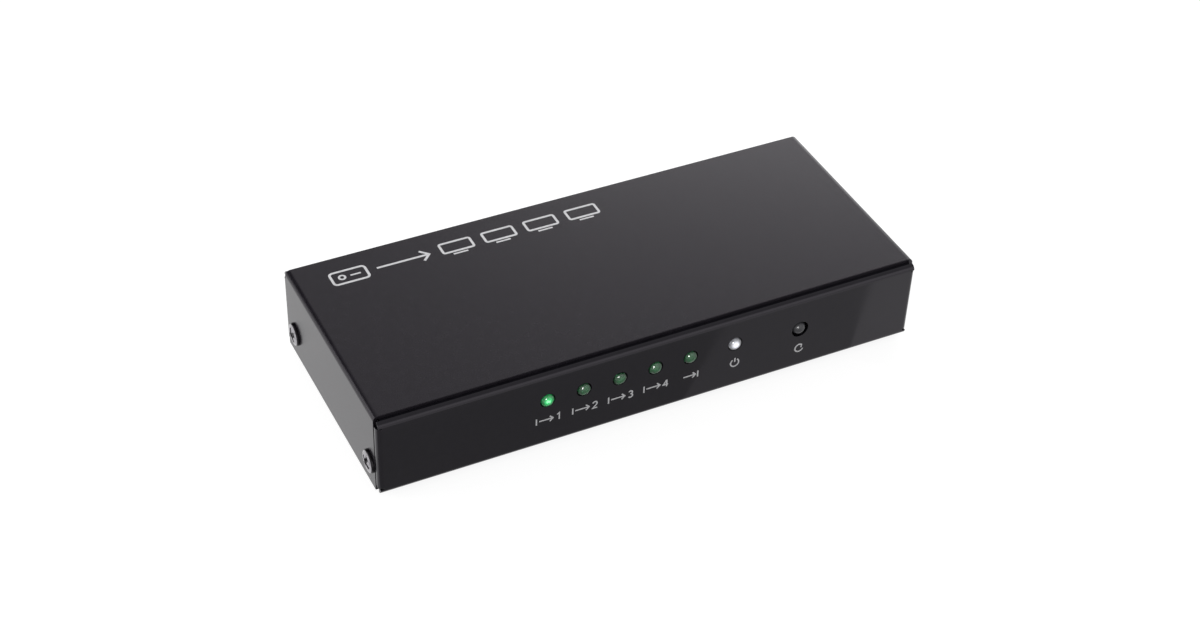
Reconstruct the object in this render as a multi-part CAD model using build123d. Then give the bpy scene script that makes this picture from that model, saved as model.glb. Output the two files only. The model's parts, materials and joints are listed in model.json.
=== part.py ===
from build123d import *
import os
from math import asin, cos, sin

# A video splitter: one video socket in and four out, on a board in a folded sheet-steel case.
# Sizes are in millimetres. X runs to the right, the front faces -Y and Z is up.
# While a piece is modelled, z = 0 is the underside of the case and y = 0 is the case's middle.
# On writing, all move alike, so that the origin is at the middle of the whole, under the feet.

# Board and the room round it, which together set the size of the case
board_width = 128.0
board_depth = 51.8
board_thickness = 1.6
board_corner = 1.0
side_room = 5.0
front_room = 4.5
back_room = 1.7
standoff_height = 6.0
head_room = 0.7

# Folded sheet of the case
sheet = 1.0
base_bend = 0.3
cover_bend = 0.4
cover_set_back = 1.9
cover_lift = 0.3
corner_gap = 0.1
seat_gap = 0.05
flange_depth = 8.0
corner_relief = 0.35
lip_short = 0.4

# Side ears of the base, and the screws that hold the cover to them
screw_height = 6.6
screw_front_inset = 5.0
screw_back_inset = 6.8
ear_width = 6.0
ear_above = 4.0
ear_relief = 0.6
ear_corner = 1.5
screw_radius = 1.45
thread_gap = 0.05
hole_gap = 0.2
cover_screw_length = 4.0
head_radius = 2.9
head_height = 1.15

# Rubber feet
foot_size = 8.0
foot_height = 1.5
foot_inset = 10.0
foot_edge = 0.3

# Board standoffs, of which the two in front take screws
standoff_across = 5.5
neck_across = 4.2
press_gap = 0.02
standoff_inset = 5.5
standoff_depth_shares = (0.116, 0.608)
board_screw_length = 5.0
board_hole_gap = 0.15

# Video sockets, which stand at the back edge of the board
socket_names = ("video_in", "video_out_1", "video_out_2", "video_out_3", "video_out_4")
first_socket_share = 0.289
socket_pitch_share = 0.168
socket_width = 14.0
socket_height = 4.55
socket_depth = 11.6
socket_wall = 0.3
socket_corner = 0.6
socket_shoulder_share = 0.57
socket_floor_share = 0.76
socket_proud = 0.6
socket_lift = 0.1
flare_depth = 0.7
flare_out = 0.35
socket_hole_gap = 0.3
finger_width = 2.2
finger_slot = 0.3
finger_end = 2.6
finger_root_gap = 0.1
finger_drop = 0.45
finger_tip = 1.2
finger_spread_share = 0.46
leg_width = 1.0
leg_depths = (4.8, 9.4)
leg_below = 1.0
slot_gap = 0.15

# Insulator and contacts of a video socket
moulding_gap = 0.03
tongue_width = 11.2
tongue_thickness = 1.3
tongue_start = 1.2
tongue_root = 7.4
tongue_edge = 0.3
tail_room = 0.4
contact_width = 0.3
contact_thickness = 0.2
contact_pitch = 1.0
upper_contacts = 10
contact_set_back = 0.6
tail_gap = 0.1

# Power jack
jack_inset = 6.5
jack_width = 9.0
jack_height = 11.0
jack_depth = 12.5
jack_axis_rise = 6.5
jack_corner = 2.0
jack_wall_gap = 0.1
collar_radius = 4.3
collar_proud = 0.3
jack_bore_radius = 3.15
jack_bore_depth = 10.5
pin_radius = 1.0
pin_root_radius = 1.3
pin_set_back = 1.0
pin_gap = 0.02
lug_thickness = 0.4
lug_width = 2.6
spring_width = 2.4
spring_thickness = 0.3
spring_slot_gap = 0.15
spring_length = 6.4
spring_bump = 0.35
spring_room = 1.6

# Indicator lamps in the front wall
lamp_names = ("out_1_lamp", "out_2_lamp", "out_3_lamp", "out_4_lamp", "in_lamp", "power_lamp")
lamp_pitch = 9.23
in_lamp_share = 0.0672
power_lamp_share = 0.160
lamp_rise = 4.9
lamp_radius = 1.6
lamp_length = 5.0
lamp_proud = 0.8
lamp_crown = 0.7
lamp_hole_gap = 0.3
lead_thickness = 0.5
lead_pitch = 2.54
lead_back = 2.7
lead_below = 1.0
lead_gap = 0.1
holder_side = 0.5
holder_depth = 4.3

# Reset switch, its travel, and the room that the travel needs
reset_share = 0.2994
reset_radius = 1.75
reset_proud = 0.5
reset_crown = 0.45
reset_travel = 0.25
reset_hole_gap = 0.5
running_gap = 0.08
stop_gap = 0.05
collar_step = 0.55
collar_thickness = 0.6
dome_rise = 0.5
dome_thickness = 0.1
dome_width = 1.2
dome_rim_gap = 0.15
dome_top_share = 0.3
switch_size = 6.2
switch_lift = 0.35
switch_back = 1.4
switch_plate = 0.3
switch_edge = 0.4
switch_leg_width = 1.0
switch_pin_inset = 0.85
switch_pin_width = 0.7
switch_pin_root = 1.2

# Splitter chip, its leads, its pad and its heat sink
chip_shares = (0.08, 0.43)
chip_size = 14.0
chip_thickness = 1.4
chip_lift = 0.1
chip_edge = 0.25
chip_leads_per_side = 9
chip_lead_pitch = 1.27
chip_lead_width = 0.35
chip_lead_thickness = 0.15
chip_lead_reach = 1.0
pad_size = 13.0
pad_thickness = 0.5
sink_size = 22.0
sink_base = 1.5
sink_height = 6.5
sink_fins = 8
sink_fin_share = 0.4

# Smaller parts on the board: places are shares of the board's width from its middle, and of its
# depth from its front edge
memory_shares = (-0.12, 0.36)
memory_size = (5.0, 4.0, 1.5)
memory_leads_per_side = 4
memory_lead_pitch = 1.27
regulator_shares = (0.36, 0.27)
regulator_size = (6.5, 3.5, 1.7)
regulator_tab_width = 3.0
crystal_shares = (-0.12, 0.60)
crystal_size = (11.0, 4.6, 3.6)
crystal_base = 0.5
crystal_margin = 0.3
inductor_shares = (0.345, 0.46)
inductor_size = 7.0
inductor_height = 4.5
inductor_corner = 1.6
capacitor_share_places = ((0.44, 0.44), (0.345, 0.61))
capacitor_radius = 3.15
capacitor_height = 7.7
capacitor_base = 0.8
capacitor_margin = 0.2
ceramic_size = (1.6, 0.8, 0.8)
ceramic_row_share = 0.755
ceramic_places_shares = (-0.3, -0.1, 0.1, 0.3)

# All cuts overrun alike
overrun = 1.0

# Sizes and places worked out from the values above
case_width = board_width + 2 * (side_room + sheet)
case_depth = board_depth + front_room + back_room + 2 * sheet
case_height = standoff_height + board_thickness + jack_height + head_room + 3 * sheet
front_y = -case_depth / 2
back_y = case_depth / 2
side_x = case_width / 2
base_height = case_height - sheet
base_bend_outer = base_bend + sheet
wall_x = side_x - corner_gap
base_x = wall_x - base_bend_outer
cover_y = case_depth / 2 - cover_set_back
board_under = sheet + standoff_height
board_top = board_under + board_thickness
board_front = front_y + sheet + front_room
board_back = back_y - sheet - back_room
ear_x = side_x - sheet - seat_gap
socket_z = board_top + socket_lift + socket_wall + socket_height / 2
mouth_y = back_y + socket_proud
finger_root = mouth_y - tongue_root + socket_wall + finger_root_gap
jack_x = board_width / 2 - jack_inset
jack_z = board_top + jack_axis_rise
jack_face_y = back_y - sheet - jack_wall_gap
jack_mouth_y = back_y + collar_proud
lamp_z = board_top + lamp_rise
lamp_back_y = front_y - lamp_proud + lamp_length
reset_x = reset_share * board_width
reset_z = board_top + switch_lift + switch_size / 2
cavity_depth = stop_gap + collar_thickness + reset_travel + stop_gap + dome_rise + dome_thickness
switch_front = board_front + switch_plate
switch_pin_pitch = switch_size - 2 * switch_pin_inset
switch_depth = cavity_depth + switch_back
cavity_radius = reset_radius + collar_step + running_gap
tail_below = board_under - leg_below

MIN3 = (Align.MIN, Align.MIN, Align.MIN)
ON_AXIS = (Align.CENTER, Align.CENTER, Align.MIN)
ON_START = (Align.CENTER, Align.MIN, Align.CENTER)


# Helpers

def block(low, high):
    """A box between its lowest and highest corners."""
    size = [b - a for a, b in zip(low, high)]
    return Pos(*low) * Box(*size, align=MIN3)


def rod(start, direction, radius, length):
    """A round bar from a start point along a direction."""
    return Plane(origin=start, z_dir=direction) * Cylinder(radius, length, align=ON_AXIS)


def folded(points, thickness, bend, plane, start, width):
    """A strip folded along points in a plane, with its width along the plane's normal."""
    middle = FilletPolyline(*points, radius=bend + thickness / 2)
    section = trace(middle, line_width=thickness)
    return extrude(plane.offset(start) * section, amount=width, dir=plane.z_dir)


def creased(points, thickness, plane, start, width):
    """A strip as folded() makes, with sharp creases, for pieces too small to show a bend."""
    section = trace(Polyline(*points), line_width=thickness)
    return extrude(plane.offset(start) * section, amount=width, dir=plane.z_dir)


def turned(steps, start, direction, crown=0.0):
    """A turned piece: steps of radius and distance along its axis, with a ball-shaped crown if asked."""
    rim_radius, rim_distance = steps[-1]
    peak = (0, rim_distance + crown)
    outline = Polyline((0, steps[0][1]), *steps)
    if crown:
        ball = (rim_radius ** 2 + crown ** 2) / (2 * crown)
        half_turn = asin(rim_radius / ball) / 2
        through = (ball * sin(half_turn), rim_distance + crown - ball + ball * cos(half_turn))
        outline += ThreePointArc(steps[-1], through, peak)
    else:
        outline += Line(steps[-1], peak)
    body = revolve(Plane.XZ * make_face(outline + Line(peak, (0, steps[0][1]))), axis=Axis.Z)
    return Plane(origin=start, z_dir=direction) * body


def hexagon(across, low, high):
    """An upright six-sided bar on the Z axis, of a given width across its flats."""
    outline = Pos(0, 0, low) * RegularPolygon(across / 2, 6, major_radius=False)
    return extrude(outline, amount=high - low)


def board_place(shares):
    """The point at a share of the board's width from its middle and of its depth from its front."""
    return shares[0] * board_width, board_front + shares[1] * board_depth


def joined(pieces):
    """Several separate solids as one group."""
    return Compound([solid for piece in pieces for solid in piece.solids()])


# Case

def base_section():
    """The base's section from flange to flange, as one strip of sheet the width of its lips."""
    wall = case_depth / 2 - sheet / 2
    low = sheet / 2
    high = base_height - sheet / 2
    flange_end = case_depth / 2 - flange_depth
    points = ((flange_end, high), (wall, high), (wall, low), (-wall, low), (-wall, high), (-flange_end, high))
    lip_x = wall_x - lip_short
    return folded(points, sheet, base_bend, Plane.YZ, -lip_x, 2 * lip_x)


def base_ends():
    """What the blank lacks at its ends: floor and flanges stop short, and the walls are notched."""
    inner_y = case_depth / 2 - base_bend_outer
    outer_y = back_y + overrun
    top = base_height - base_bend_outer
    cuts = []
    for side in (-1, 1):
        near, far = sorted((side * base_x, side * (side_x + overrun)))
        cuts.append(block((near, -inner_y, -overrun), (far, inner_y, case_height)))
        cuts.append(block((near, -outer_y, base_bend_outer), (far, outer_y, top)))
    return cuts


def corner_return(side, end):
    """The upright bend that closes one corner of the case, with its lip up to the cover's edge."""
    wall = end * (case_depth / 2 - sheet / 2)
    across = side * (wall_x - sheet / 2)
    lip_end = end * (cover_y + corner_gap)
    points = ((side * (base_x - sheet), wall), (across, wall), (across, lip_end))
    low = base_bend_outer + corner_relief
    high = base_height - base_bend_outer - corner_relief
    return folded(points, sheet, base_bend, Plane.XY, low, high - low)


def screw_rows():
    """How far along Y the cover screws stand, in front and behind."""
    return front_y + screw_front_inset, back_y - screw_back_inset


def side_ear(side, y):
    """An ear folded up from the floor for a cover screw."""
    across = side * (ear_x - sheet / 2)
    root = side * (ear_x - base_bend_outer - sheet)
    points = ((root, sheet / 2), (across, sheet / 2), (across, screw_height + ear_above))
    ear = creased(points, sheet, Plane.XZ, -y - ear_width / 2, ear_width)
    top = ear.edges().filter_by(Axis.X).group_by(Axis.Z)[-1]
    return chamfer(top, ear_corner)


def ear_notch(side, y):
    """The floor cut back for an ear and for the bend relief on both sides of it."""
    near, far = sorted((side * (ear_x - base_bend_outer), side * (side_x + overrun)))
    half = ear_width / 2 + ear_relief
    return block((near, y - half, -overrun), (far, y + half, sheet + overrun))


def front_holes():
    """Round holes in the front wall for the lamps and the reset plunger."""
    start = front_y - overrun
    length = sheet + 2 * overrun
    holes = [rod((x, start, lamp_z), (0, 1, 0), lamp_radius + lamp_hole_gap, length) for x in lamp_places()]
    holes.append(rod((reset_x, start, reset_z), (0, 1, 0), reset_radius + reset_hole_gap, length))
    return holes


def back_holes():
    """Shaped holes in the back wall for the video sockets, and a round one for the power jack."""
    length = sheet + 2 * overrun
    start = socket_plane(-socket_proud - sheet - overrun)
    outline = start * socket_outline(socket_wall + flare_out + socket_hole_gap)
    shaped = extrude(outline, amount=length, dir=(0, 1, 0))
    jack_start = (jack_x, back_y - sheet - overrun, jack_z)
    round_hole = rod(jack_start, (0, 1, 0), collar_radius + jack_wall_gap, length)
    return [Pos(x, 0, 0) * shaped for x in socket_places()] + [round_hole]


def base_chassis():
    """Front wall, floor, back wall and flanges folded from one blank, with returns and ears."""
    base = base_section() - base_ends()
    start = side_x - 2 * overrun - sheet
    radius = screw_radius + thread_gap
    for side in (-1, 1):
        for end in (-1, 1):
            base = base + corner_return(side, end)
        for y in screw_rows():
            hole = rod((side * start, y, screw_height), (side, 0, 0), radius, side_x - start)
            base = base - ear_notch(side, y) + side_ear(side, y) - hole
    neck = hexagon(neck_across + 2 * press_gap, -overrun, sheet + overrun)
    necks = [Pos(x, y, 0) * neck for share in standoff_depth_shares for x, y in standoff_places(share)]
    return base - front_holes() - back_holes() - necks


def top_cover():
    """Lid and sides folded from one blank, set back from the front and the back wall."""
    across = side_x - sheet / 2
    high = case_height - sheet / 2
    points = ((-across, cover_lift), (-across, high), (across, high), (across, cover_lift))
    cover = folded(points, sheet, cover_bend, Plane.XZ, -cover_y, 2 * cover_y)
    for y in screw_rows():
        start = (-side_x - overrun, y, screw_height)
        cover = cover - rod(start, (1, 0, 0), screw_radius + hole_gap, case_width + 2 * overrun)
    return cover


def screw_steps(length):
    """Steps of a screw: its shank and its broad head."""
    top = length + head_height
    return ((screw_radius, 0), (screw_radius, length), (head_radius, length), (head_radius, top))


def cover_screws():
    """Pan-head screws through the cover's sides into the ears."""
    start = side_x - cover_screw_length
    steps = screw_steps(cover_screw_length)
    return joined([turned(steps, (side * start, y, screw_height), (side, 0, 0))
                   for side in (-1, 1) for y in screw_rows()])


def rubber_feet():
    """Square feet stuck under the floor, with a softened lower edge."""
    foot = Pos(0, 0, -foot_height) * Box(foot_size, foot_size, foot_height, align=ON_AXIS)
    foot = chamfer(foot.edges().group_by(Axis.Z)[0], foot_edge)
    x = side_x - foot_inset
    y = case_depth / 2 - foot_inset
    return joined([Pos(side * x, end * y, 0) * foot for side in (-1, 1) for end in (-1, 1)])


# Board and what holds it

def standoff_places(share):
    """Where two standoffs stand, in X and Y, at a share of the board's depth."""
    x = board_width / 2 - standoff_inset
    y = board_front + share * board_depth
    return [(-x, y), (x, y)]


def board_standoffs():
    """Six-sided standoffs pressed into the floor: two with a tapped bore, and two that only carry."""
    post = hexagon(standoff_across, sheet, board_under) + hexagon(neck_across, 0, sheet)
    start = (0, 0, board_under - board_screw_length)
    tapped = post - rod(start, (0, 0, 1), screw_radius + thread_gap, board_screw_length)
    screwed, plain = standoff_depth_shares
    return joined([Pos(x, y, 0) * tapped for x, y in standoff_places(screwed)]
                  + [Pos(x, y, 0) * post for x, y in standoff_places(plain)])


def board_screws():
    """Pan-head screws that hold the board down on its front standoffs."""
    length = board_screw_length + board_thickness - sheet
    screw = turned(screw_steps(length), (0, 0, board_top - length), (0, 0, 1))
    return joined([Pos(x, y, 0) * screw for x, y in standoff_places(standoff_depth_shares[0])])


def board_slot(x, y, across, along):
    """A slot through the board for one leg of the given size in X and Y."""
    half_x = across / 2 + slot_gap
    half_y = along / 2 + slot_gap
    low = (x - half_x, y - half_y, board_under - overrun)
    return block(low, (x + half_x, y + half_y, board_top + overrun))


def board_slots():
    """Every slot that a leg, a lug or a terminal passes through."""
    slots = [board_slot(x, y, socket_wall, leg_width) for x, y in leg_places()]
    slots += [board_slot(x, y, switch_plate, switch_leg_width) for x, y in switch_leg_places()]
    slots += [board_slot(x, y, switch_pin_width, switch_plate) for x, y in switch_pin_places()]
    slots += [board_slot(x, y, lead_thickness, lead_thickness) for x, y in lead_places()]
    slots.append(board_slot(jack_x, lug_y(), lug_width, lug_thickness))
    slots.append(board_slot(jack_x, spring_foot_y(), spring_width, spring_thickness))
    return slots


def main_board():
    """The board, with its screw holes and a slot for each leg and lead."""
    half = board_width / 2
    plate = block((-half, board_front, board_under), (half, board_back, board_top))
    plate = chamfer(plate.edges().filter_by(Axis.Z), board_corner)
    start = board_under - overrun
    length = board_thickness + 2 * overrun
    radius = screw_radius + board_hole_gap
    places = standoff_places(standoff_depth_shares[0])
    holes = [rod((x, y, start), (0, 0, 1), radius, length) for x, y in places]
    return plate - holes - board_slots()


# Video sockets

def socket_places():
    """Where the video sockets stand along X, the input first."""
    return [(first_socket_share - n * socket_pitch_share) * board_width for n in range(len(socket_names))]


def socket_plane(depth):
    """The plane square to a socket at a depth in from its mouth, with X to the right and Z up."""
    return Plane(origin=(0, mouth_y + depth, socket_z), x_dir=(1, 0, 0), z_dir=(0, -1, 0))


def socket_outline(grow=0.0):
    """The inside of a socket, or that grown all round: wide above, drawn in below, corners cut."""
    half = socket_width / 2
    top = socket_height / 2
    shoulder = top - socket_shoulder_share * socket_height
    low_half = socket_floor_share * half
    right = ((half, top), (half, shoulder), (low_half, -top))
    left = ((-low_half, -top), (-half, shoulder), (-half, top))
    face = make_face(Polyline(*right, *left, close=True))
    face = chamfer(face.vertices(), socket_corner)
    return offset(face, amount=grow, kind=Kind.INTERSECTION) if grow else face


def socket_tube(grow, start, length):
    """The socket's outline, grown, carried inwards from a depth."""
    return extrude(socket_plane(-start) * socket_outline(grow), amount=length, dir=(0, -1, 0))


def socket_flare(grow):
    """The widening mouth, from the flare's depth out to the mouth."""
    inner = socket_plane(-flare_depth) * socket_outline(grow)
    outer = socket_plane(0) * socket_outline(grow + flare_out)
    return loft([inner.faces()[0], outer.faces()[0]], ruled=True)


def finger_window(x, low, high):
    """The U-shaped cut round one spring finger."""
    half = finger_width / 2 + finger_slot
    return block((x - half, finger_root, low), (x + half, mouth_y - finger_end, high))


def spring_finger(x, level):
    """A finger that leans into the socket from its root and turns out again at its tip."""
    root = finger_root - socket_wall
    tip = mouth_y - finger_end - finger_slot
    low = level - finger_drop
    points = ((root, level), (tip - finger_tip, low), (tip, low + finger_drop / 2))
    return creased(points, socket_wall, Plane.YZ, x - finger_width / 2, finger_width)


def socket_fingers():
    """Place of each finger: two side by side in the shell's upper wall."""
    x = finger_spread_share * socket_width / 2
    return [(side * x, socket_z + (socket_height + socket_wall) / 2) for side in (-1, 1)]


def leg_places():
    """Where the shells' legs pass the board, in X and Y, for every socket."""
    across = (socket_width + socket_wall) / 2
    sides = [x + side * across for x in socket_places() for side in (-1, 1)]
    return [(x, mouth_y - depth) for x in sides for depth in leg_depths]


def socket_shell():
    """A folded shell at x = 0: flared mouth, spring fingers, four legs and a closed back."""
    tube = socket_tube(socket_wall, flare_depth, socket_depth - flare_depth)
    hollow = socket_tube(0, flare_depth, socket_depth - flare_depth - socket_wall)
    shell = tube + socket_flare(socket_wall) - hollow - socket_flare(0)
    for x, level in socket_fingers():
        shell = shell - finger_window(x, level - socket_wall, level + socket_wall) + spring_finger(x, level)
    across = socket_width / 2
    for side in (-1, 1):
        near, far = sorted((side * across, side * (across + socket_wall)))
        for depth in leg_depths:
            y = mouth_y - depth
            shell = shell + block((near, y - leg_width / 2, tail_below), (far, y + leg_width / 2, socket_z))
    return shell


def contact_rows():
    """X and height of each contact: ten on the tongue and nine between them underneath."""
    level = (tongue_thickness + contact_thickness) / 2
    span = (upper_contacts - 1) * contact_pitch
    rows = [(n * contact_pitch - span / 2, socket_z + level) for n in range(upper_contacts)]
    rows += [((n + 0.5) * contact_pitch - span / 2, socket_z - level) for n in range(upper_contacts - 1)]
    return rows


def socket_contacts():
    """Flat contacts at x = 0, along the tongue and out behind the insulator."""
    back = mouth_y - socket_depth + socket_wall + tail_gap
    front = mouth_y - tongue_start - contact_set_back
    blade = Pos(0, back, 0) * Box(contact_width, front - back, contact_thickness, align=ON_START)
    return [Pos(x, 0, level) * blade for x, level in contact_rows()]


def socket_insulator():
    """The moulding at x = 0: a block that fills the shell's back, and a tongue between two slots."""
    back = socket_depth - socket_wall - tail_room
    rear = socket_tube(-moulding_gap, tongue_root, back - tongue_root)
    half = tongue_thickness / 2
    low = (-tongue_width / 2, mouth_y - tongue_root - moulding_gap, socket_z - half)
    high = (tongue_width / 2, mouth_y - tongue_start, socket_z + half)
    tongue = block(low, high)
    tongue = chamfer(tongue.edges().filter_by(Axis.X).group_by(Axis.Y)[-1], tongue_edge)
    reach = upper_contacts * contact_pitch / 2
    low = (-reach, mouth_y - socket_depth, socket_z - half - contact_thickness)
    high = (reach, mouth_y - tongue_root + overrun, socket_z + half + contact_thickness)
    core = block((-reach, low[1], socket_z - half), (reach, mouth_y - tongue_root, socket_z + half))
    return rear - (block(low, high) - core) + tongue


# Power jack

def lug_y():
    """Where the centre pin's lug stands, behind the jack's housing."""
    return jack_face_y - jack_depth - lug_thickness / 2


def spring_foot_y():
    """Where the spring's terminal goes down through the board."""
    return jack_mouth_y - jack_bore_depth + spring_thickness / 2


def jack_spring():
    """A leaf beside the bore that bumps into it, with its terminal through the board."""
    foot = spring_foot_y()
    touch = jack_z - jack_bore_radius + spring_bump - spring_thickness / 2
    rest = touch - spring_room
    end = foot + spring_length
    points = ((foot, tail_below), (foot, rest), ((foot + 2 * end) / 3, touch), (end, (rest + touch) / 2))
    return Pos(jack_x, 0, 0) * creased(points, spring_thickness, Plane.YZ, -spring_width / 2, spring_width)


def jack_housing():
    """Square body with cut shoulders, a round collar through the back wall, and its bore."""
    back = jack_face_y - jack_depth
    body = block((jack_x - jack_width / 2, back, board_top),
                 (jack_x + jack_width / 2, jack_face_y, board_top + jack_height))
    body = chamfer(body.edges().filter_by(Axis.Y).group_by(Axis.Z)[-1], jack_corner)
    start = jack_face_y - overrun
    collar = rod((jack_x, start, jack_z), (0, 1, 0), collar_radius, jack_mouth_y - start)
    bore_start = jack_mouth_y - jack_bore_depth
    bore = rod((jack_x, bore_start, jack_z), (0, 1, 0), jack_bore_radius, jack_bore_depth)
    pin_hole = rod((jack_x, back - overrun, jack_z), (0, 1, 0), pin_root_radius + pin_gap, jack_depth)
    half = spring_width / 2 + spring_slot_gap
    slot_back = spring_foot_y() - spring_thickness
    slot_front = spring_foot_y() + spring_length + spring_thickness
    slot = block((jack_x - half, slot_back, board_top - overrun), (jack_x + half, slot_front, jack_z))
    return body + collar - bore - pin_hole - slot


def jack_pin():
    """The centre pin, thicker at its root, with a lug behind it that goes down through the board."""
    start = jack_face_y - jack_depth
    root = jack_mouth_y - jack_bore_depth - start
    length = jack_mouth_y - pin_set_back - start
    steps = ((pin_root_radius, 0), (pin_root_radius, root), (pin_radius, root), (pin_radius, length))
    pin = turned(steps, (jack_x, start, jack_z), (0, 1, 0))
    low = (jack_x - lug_width / 2, start - lug_thickness, tail_below)
    high = (jack_x + lug_width / 2, start, jack_z + lug_width / 2)
    lug = block(low, high)
    lug = chamfer(lug.edges().filter_by(Axis.Y).group_by(Axis.Z)[-1], lug_width / 4)
    return pin + lug


# Lamps

def lamp_places():
    """Where the lamps stand along X: four outputs, the input, then power."""
    in_x = in_lamp_share * board_width
    outputs = [in_x - n * lamp_pitch for n in range(len(lamp_names) - 2, 0, -1)]
    return outputs + [in_x, power_lamp_share * board_width]


def lead_places():
    """Where the lamps' leads pass the board, in X and Y."""
    y = lamp_back_y + lead_back
    return [(x + side * lead_pitch / 2, y) for x in lamp_places() for side in (-1, 1)]


def lamp(x):
    """A round lens whose crowned front stands a little out of the wall."""
    steps = ((lamp_radius, 0), (lamp_radius, lamp_length - lamp_crown))
    return turned(steps, (x, lamp_back_y, lamp_z), (0, -1, 0), lamp_crown)


def lamp_leads():
    """Two leads from each lamp, bent down through the board."""
    down = lamp_back_y + lead_back
    points = ((lamp_back_y, lamp_z), (down, lamp_z), (down, board_under - lead_below))
    lead = creased(points, lead_thickness, Plane.YZ, -lead_thickness / 2, lead_thickness)
    return joined([Pos(x, 0, 0) * lead for x, y in lead_places()])


def lamp_holder():
    """The block at x = 0 that carries a lamp on the board, with a channel for each lead."""
    reach = lead_thickness / 2 + lead_gap
    half = lead_pitch / 2 + reach + holder_side
    top = lamp_z + lamp_radius
    body = block((-half, lamp_back_y, board_top), (half, lamp_back_y + holder_depth, top))
    body = chamfer(body.edges().filter_by(Axis.X).group_by(Axis.Z)[-1], holder_side)
    for side in (-1, 1):
        x = side * lead_pitch / 2
        low = (x - reach, lamp_back_y - overrun, board_top - overrun)
        body = body - block(low, (x + reach, lamp_back_y + lead_back + reach, lamp_z + reach))
    return body


# Reset switch

def switch_leg_places():
    """Where the cover plate's legs pass the board."""
    y = switch_front + switch_depth / 2
    return [(reset_x + side * (switch_size + switch_plate) / 2, y) for side in (-1, 1)]


def switch_pin_places():
    """Where the switch's terminals pass the board."""
    y = switch_front + cavity_depth + switch_back / 2
    return [(reset_x + side * switch_pin_pitch / 2, y) for side in (-1, 1)]


def switch_base(pins):
    """The moulded square base, open in front with a round cavity for the plunger and its dome."""
    half = switch_size / 2
    high = (reset_x + half, switch_front + switch_depth, reset_z + half)
    body = block((reset_x - half, switch_front, reset_z - half), high)
    body = chamfer(body.edges().filter_by(Axis.Y), switch_edge)
    start = (reset_x, switch_front - overrun, reset_z)
    cavity = rod(start, (0, 1, 0), cavity_radius, cavity_depth + overrun)
    return body - cavity - pins


def switch_cover():
    """A thin folded plate over the base's face and sides, with two legs through the board."""
    left = reset_x - (switch_size + switch_plate) / 2
    right = reset_x + (switch_size + switch_plate) / 2
    face_y = switch_front - switch_plate / 2
    back = switch_front + switch_depth
    height = switch_size - 2 * switch_edge
    points = ((left, back), (left, face_y), (right, face_y), (right, back))
    plate = creased(points, switch_plate, Plane.XY, reset_z - height / 2, height)
    hole = rod((reset_x, switch_front - overrun, reset_z), (0, 1, 0), reset_radius + running_gap, overrun)
    for x, y in switch_leg_places():
        low = (x - switch_plate / 2, y - switch_leg_width / 2, tail_below)
        plate = plate + block(low, (x + switch_plate / 2, y + switch_leg_width / 2, reset_z))
    return plate - hole


def switch_pins():
    """Two terminals from inside the base down through the board."""
    pins = []
    top = reset_z - switch_size / 2 + switch_pin_root
    half = switch_pin_width / 2
    for x, y in switch_pin_places():
        low = (x - half, y - switch_plate / 2, tail_below)
        pins.append(block(low, (x + half, y + switch_plate / 2, top)))
    return pins


def snap_dome():
    """A thin four-legged dome on the cavity's floor: two arched strips that cross."""
    reach = cavity_radius - dome_rim_gap
    top = dome_top_share * reach
    points = ((-reach, 0), (-top, -dome_rise), (top, -dome_rise), (reach, 0))
    strip = creased(points, dome_thickness, Plane.XY, -dome_width / 2, dome_width)
    floor_y = switch_front + cavity_depth - dome_thickness / 2
    return Pos(reset_x, floor_y, reset_z) * (strip + Rot(0, 90, 0) * strip)


def reset_button():
    """The plunger: a collar over the dome that also holds it in, and a crowned round stem."""
    back = switch_front + stop_gap + collar_thickness
    rim = back - (front_y - reset_proud) - reset_crown
    collar = reset_radius + collar_step
    steps = ((collar, 0), (collar, collar_thickness), (reset_radius, collar_thickness), (reset_radius, rim))
    return turned(steps, (reset_x, back, reset_z), (0, -1, 0), reset_crown)


# Electronics on the board

def chip_lead(half_body, body_height):
    """One flat lead that slopes from a chip's +X side down to the board."""
    half = chip_lead_thickness / 2
    start = (half_body + half, board_top + chip_lift + body_height / 2)
    end = (half_body + chip_lead_reach, board_top + half)
    return creased((start, end), chip_lead_thickness, Plane.XZ, -chip_lead_width / 2, chip_lead_width)


def lead_row(place, half_body, body_height, count, pitch, turn):
    """A row of leads along one side of a chip, turned about the chip's middle."""
    lead = chip_lead(half_body, body_height)
    steps = [(n - (count - 1) / 2) * pitch for n in range(count)]
    return [Pos(place[0], place[1], 0) * Rot(0, 0, turn) * Pos(0, step, 0) * lead for step in steps]


def chip_leads():
    """Leads of the splitter chip on four sides and of the memory chip on two."""
    chip = board_place(chip_shares)
    memory = board_place(memory_shares)
    leads = []
    width, depth, height = memory_size
    for turn in (0, 90, 180, 270):
        leads += lead_row(chip, chip_size / 2, chip_thickness, chip_leads_per_side, chip_lead_pitch, turn)
    for turn in (90, 270):
        leads += lead_row(memory, depth / 2, height, memory_leads_per_side, memory_lead_pitch, turn)
    return joined(leads)


def packaged(place, width, depth, height):
    """A moulded chip body with its upper edges cut."""
    x, y = place
    body = Pos(x, y, board_top + chip_lift) * Box(width, depth, height, align=ON_AXIS)
    return chamfer(body.edges().group_by(Axis.Z)[-1], chip_edge)


def thermal_pad():
    """A soft square pad between the chip and its heat sink."""
    x, y = board_place(chip_shares)
    low = board_top + chip_lift + chip_thickness
    return Pos(x, y, low) * Box(pad_size, pad_size, pad_thickness, align=ON_AXIS)


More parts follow.
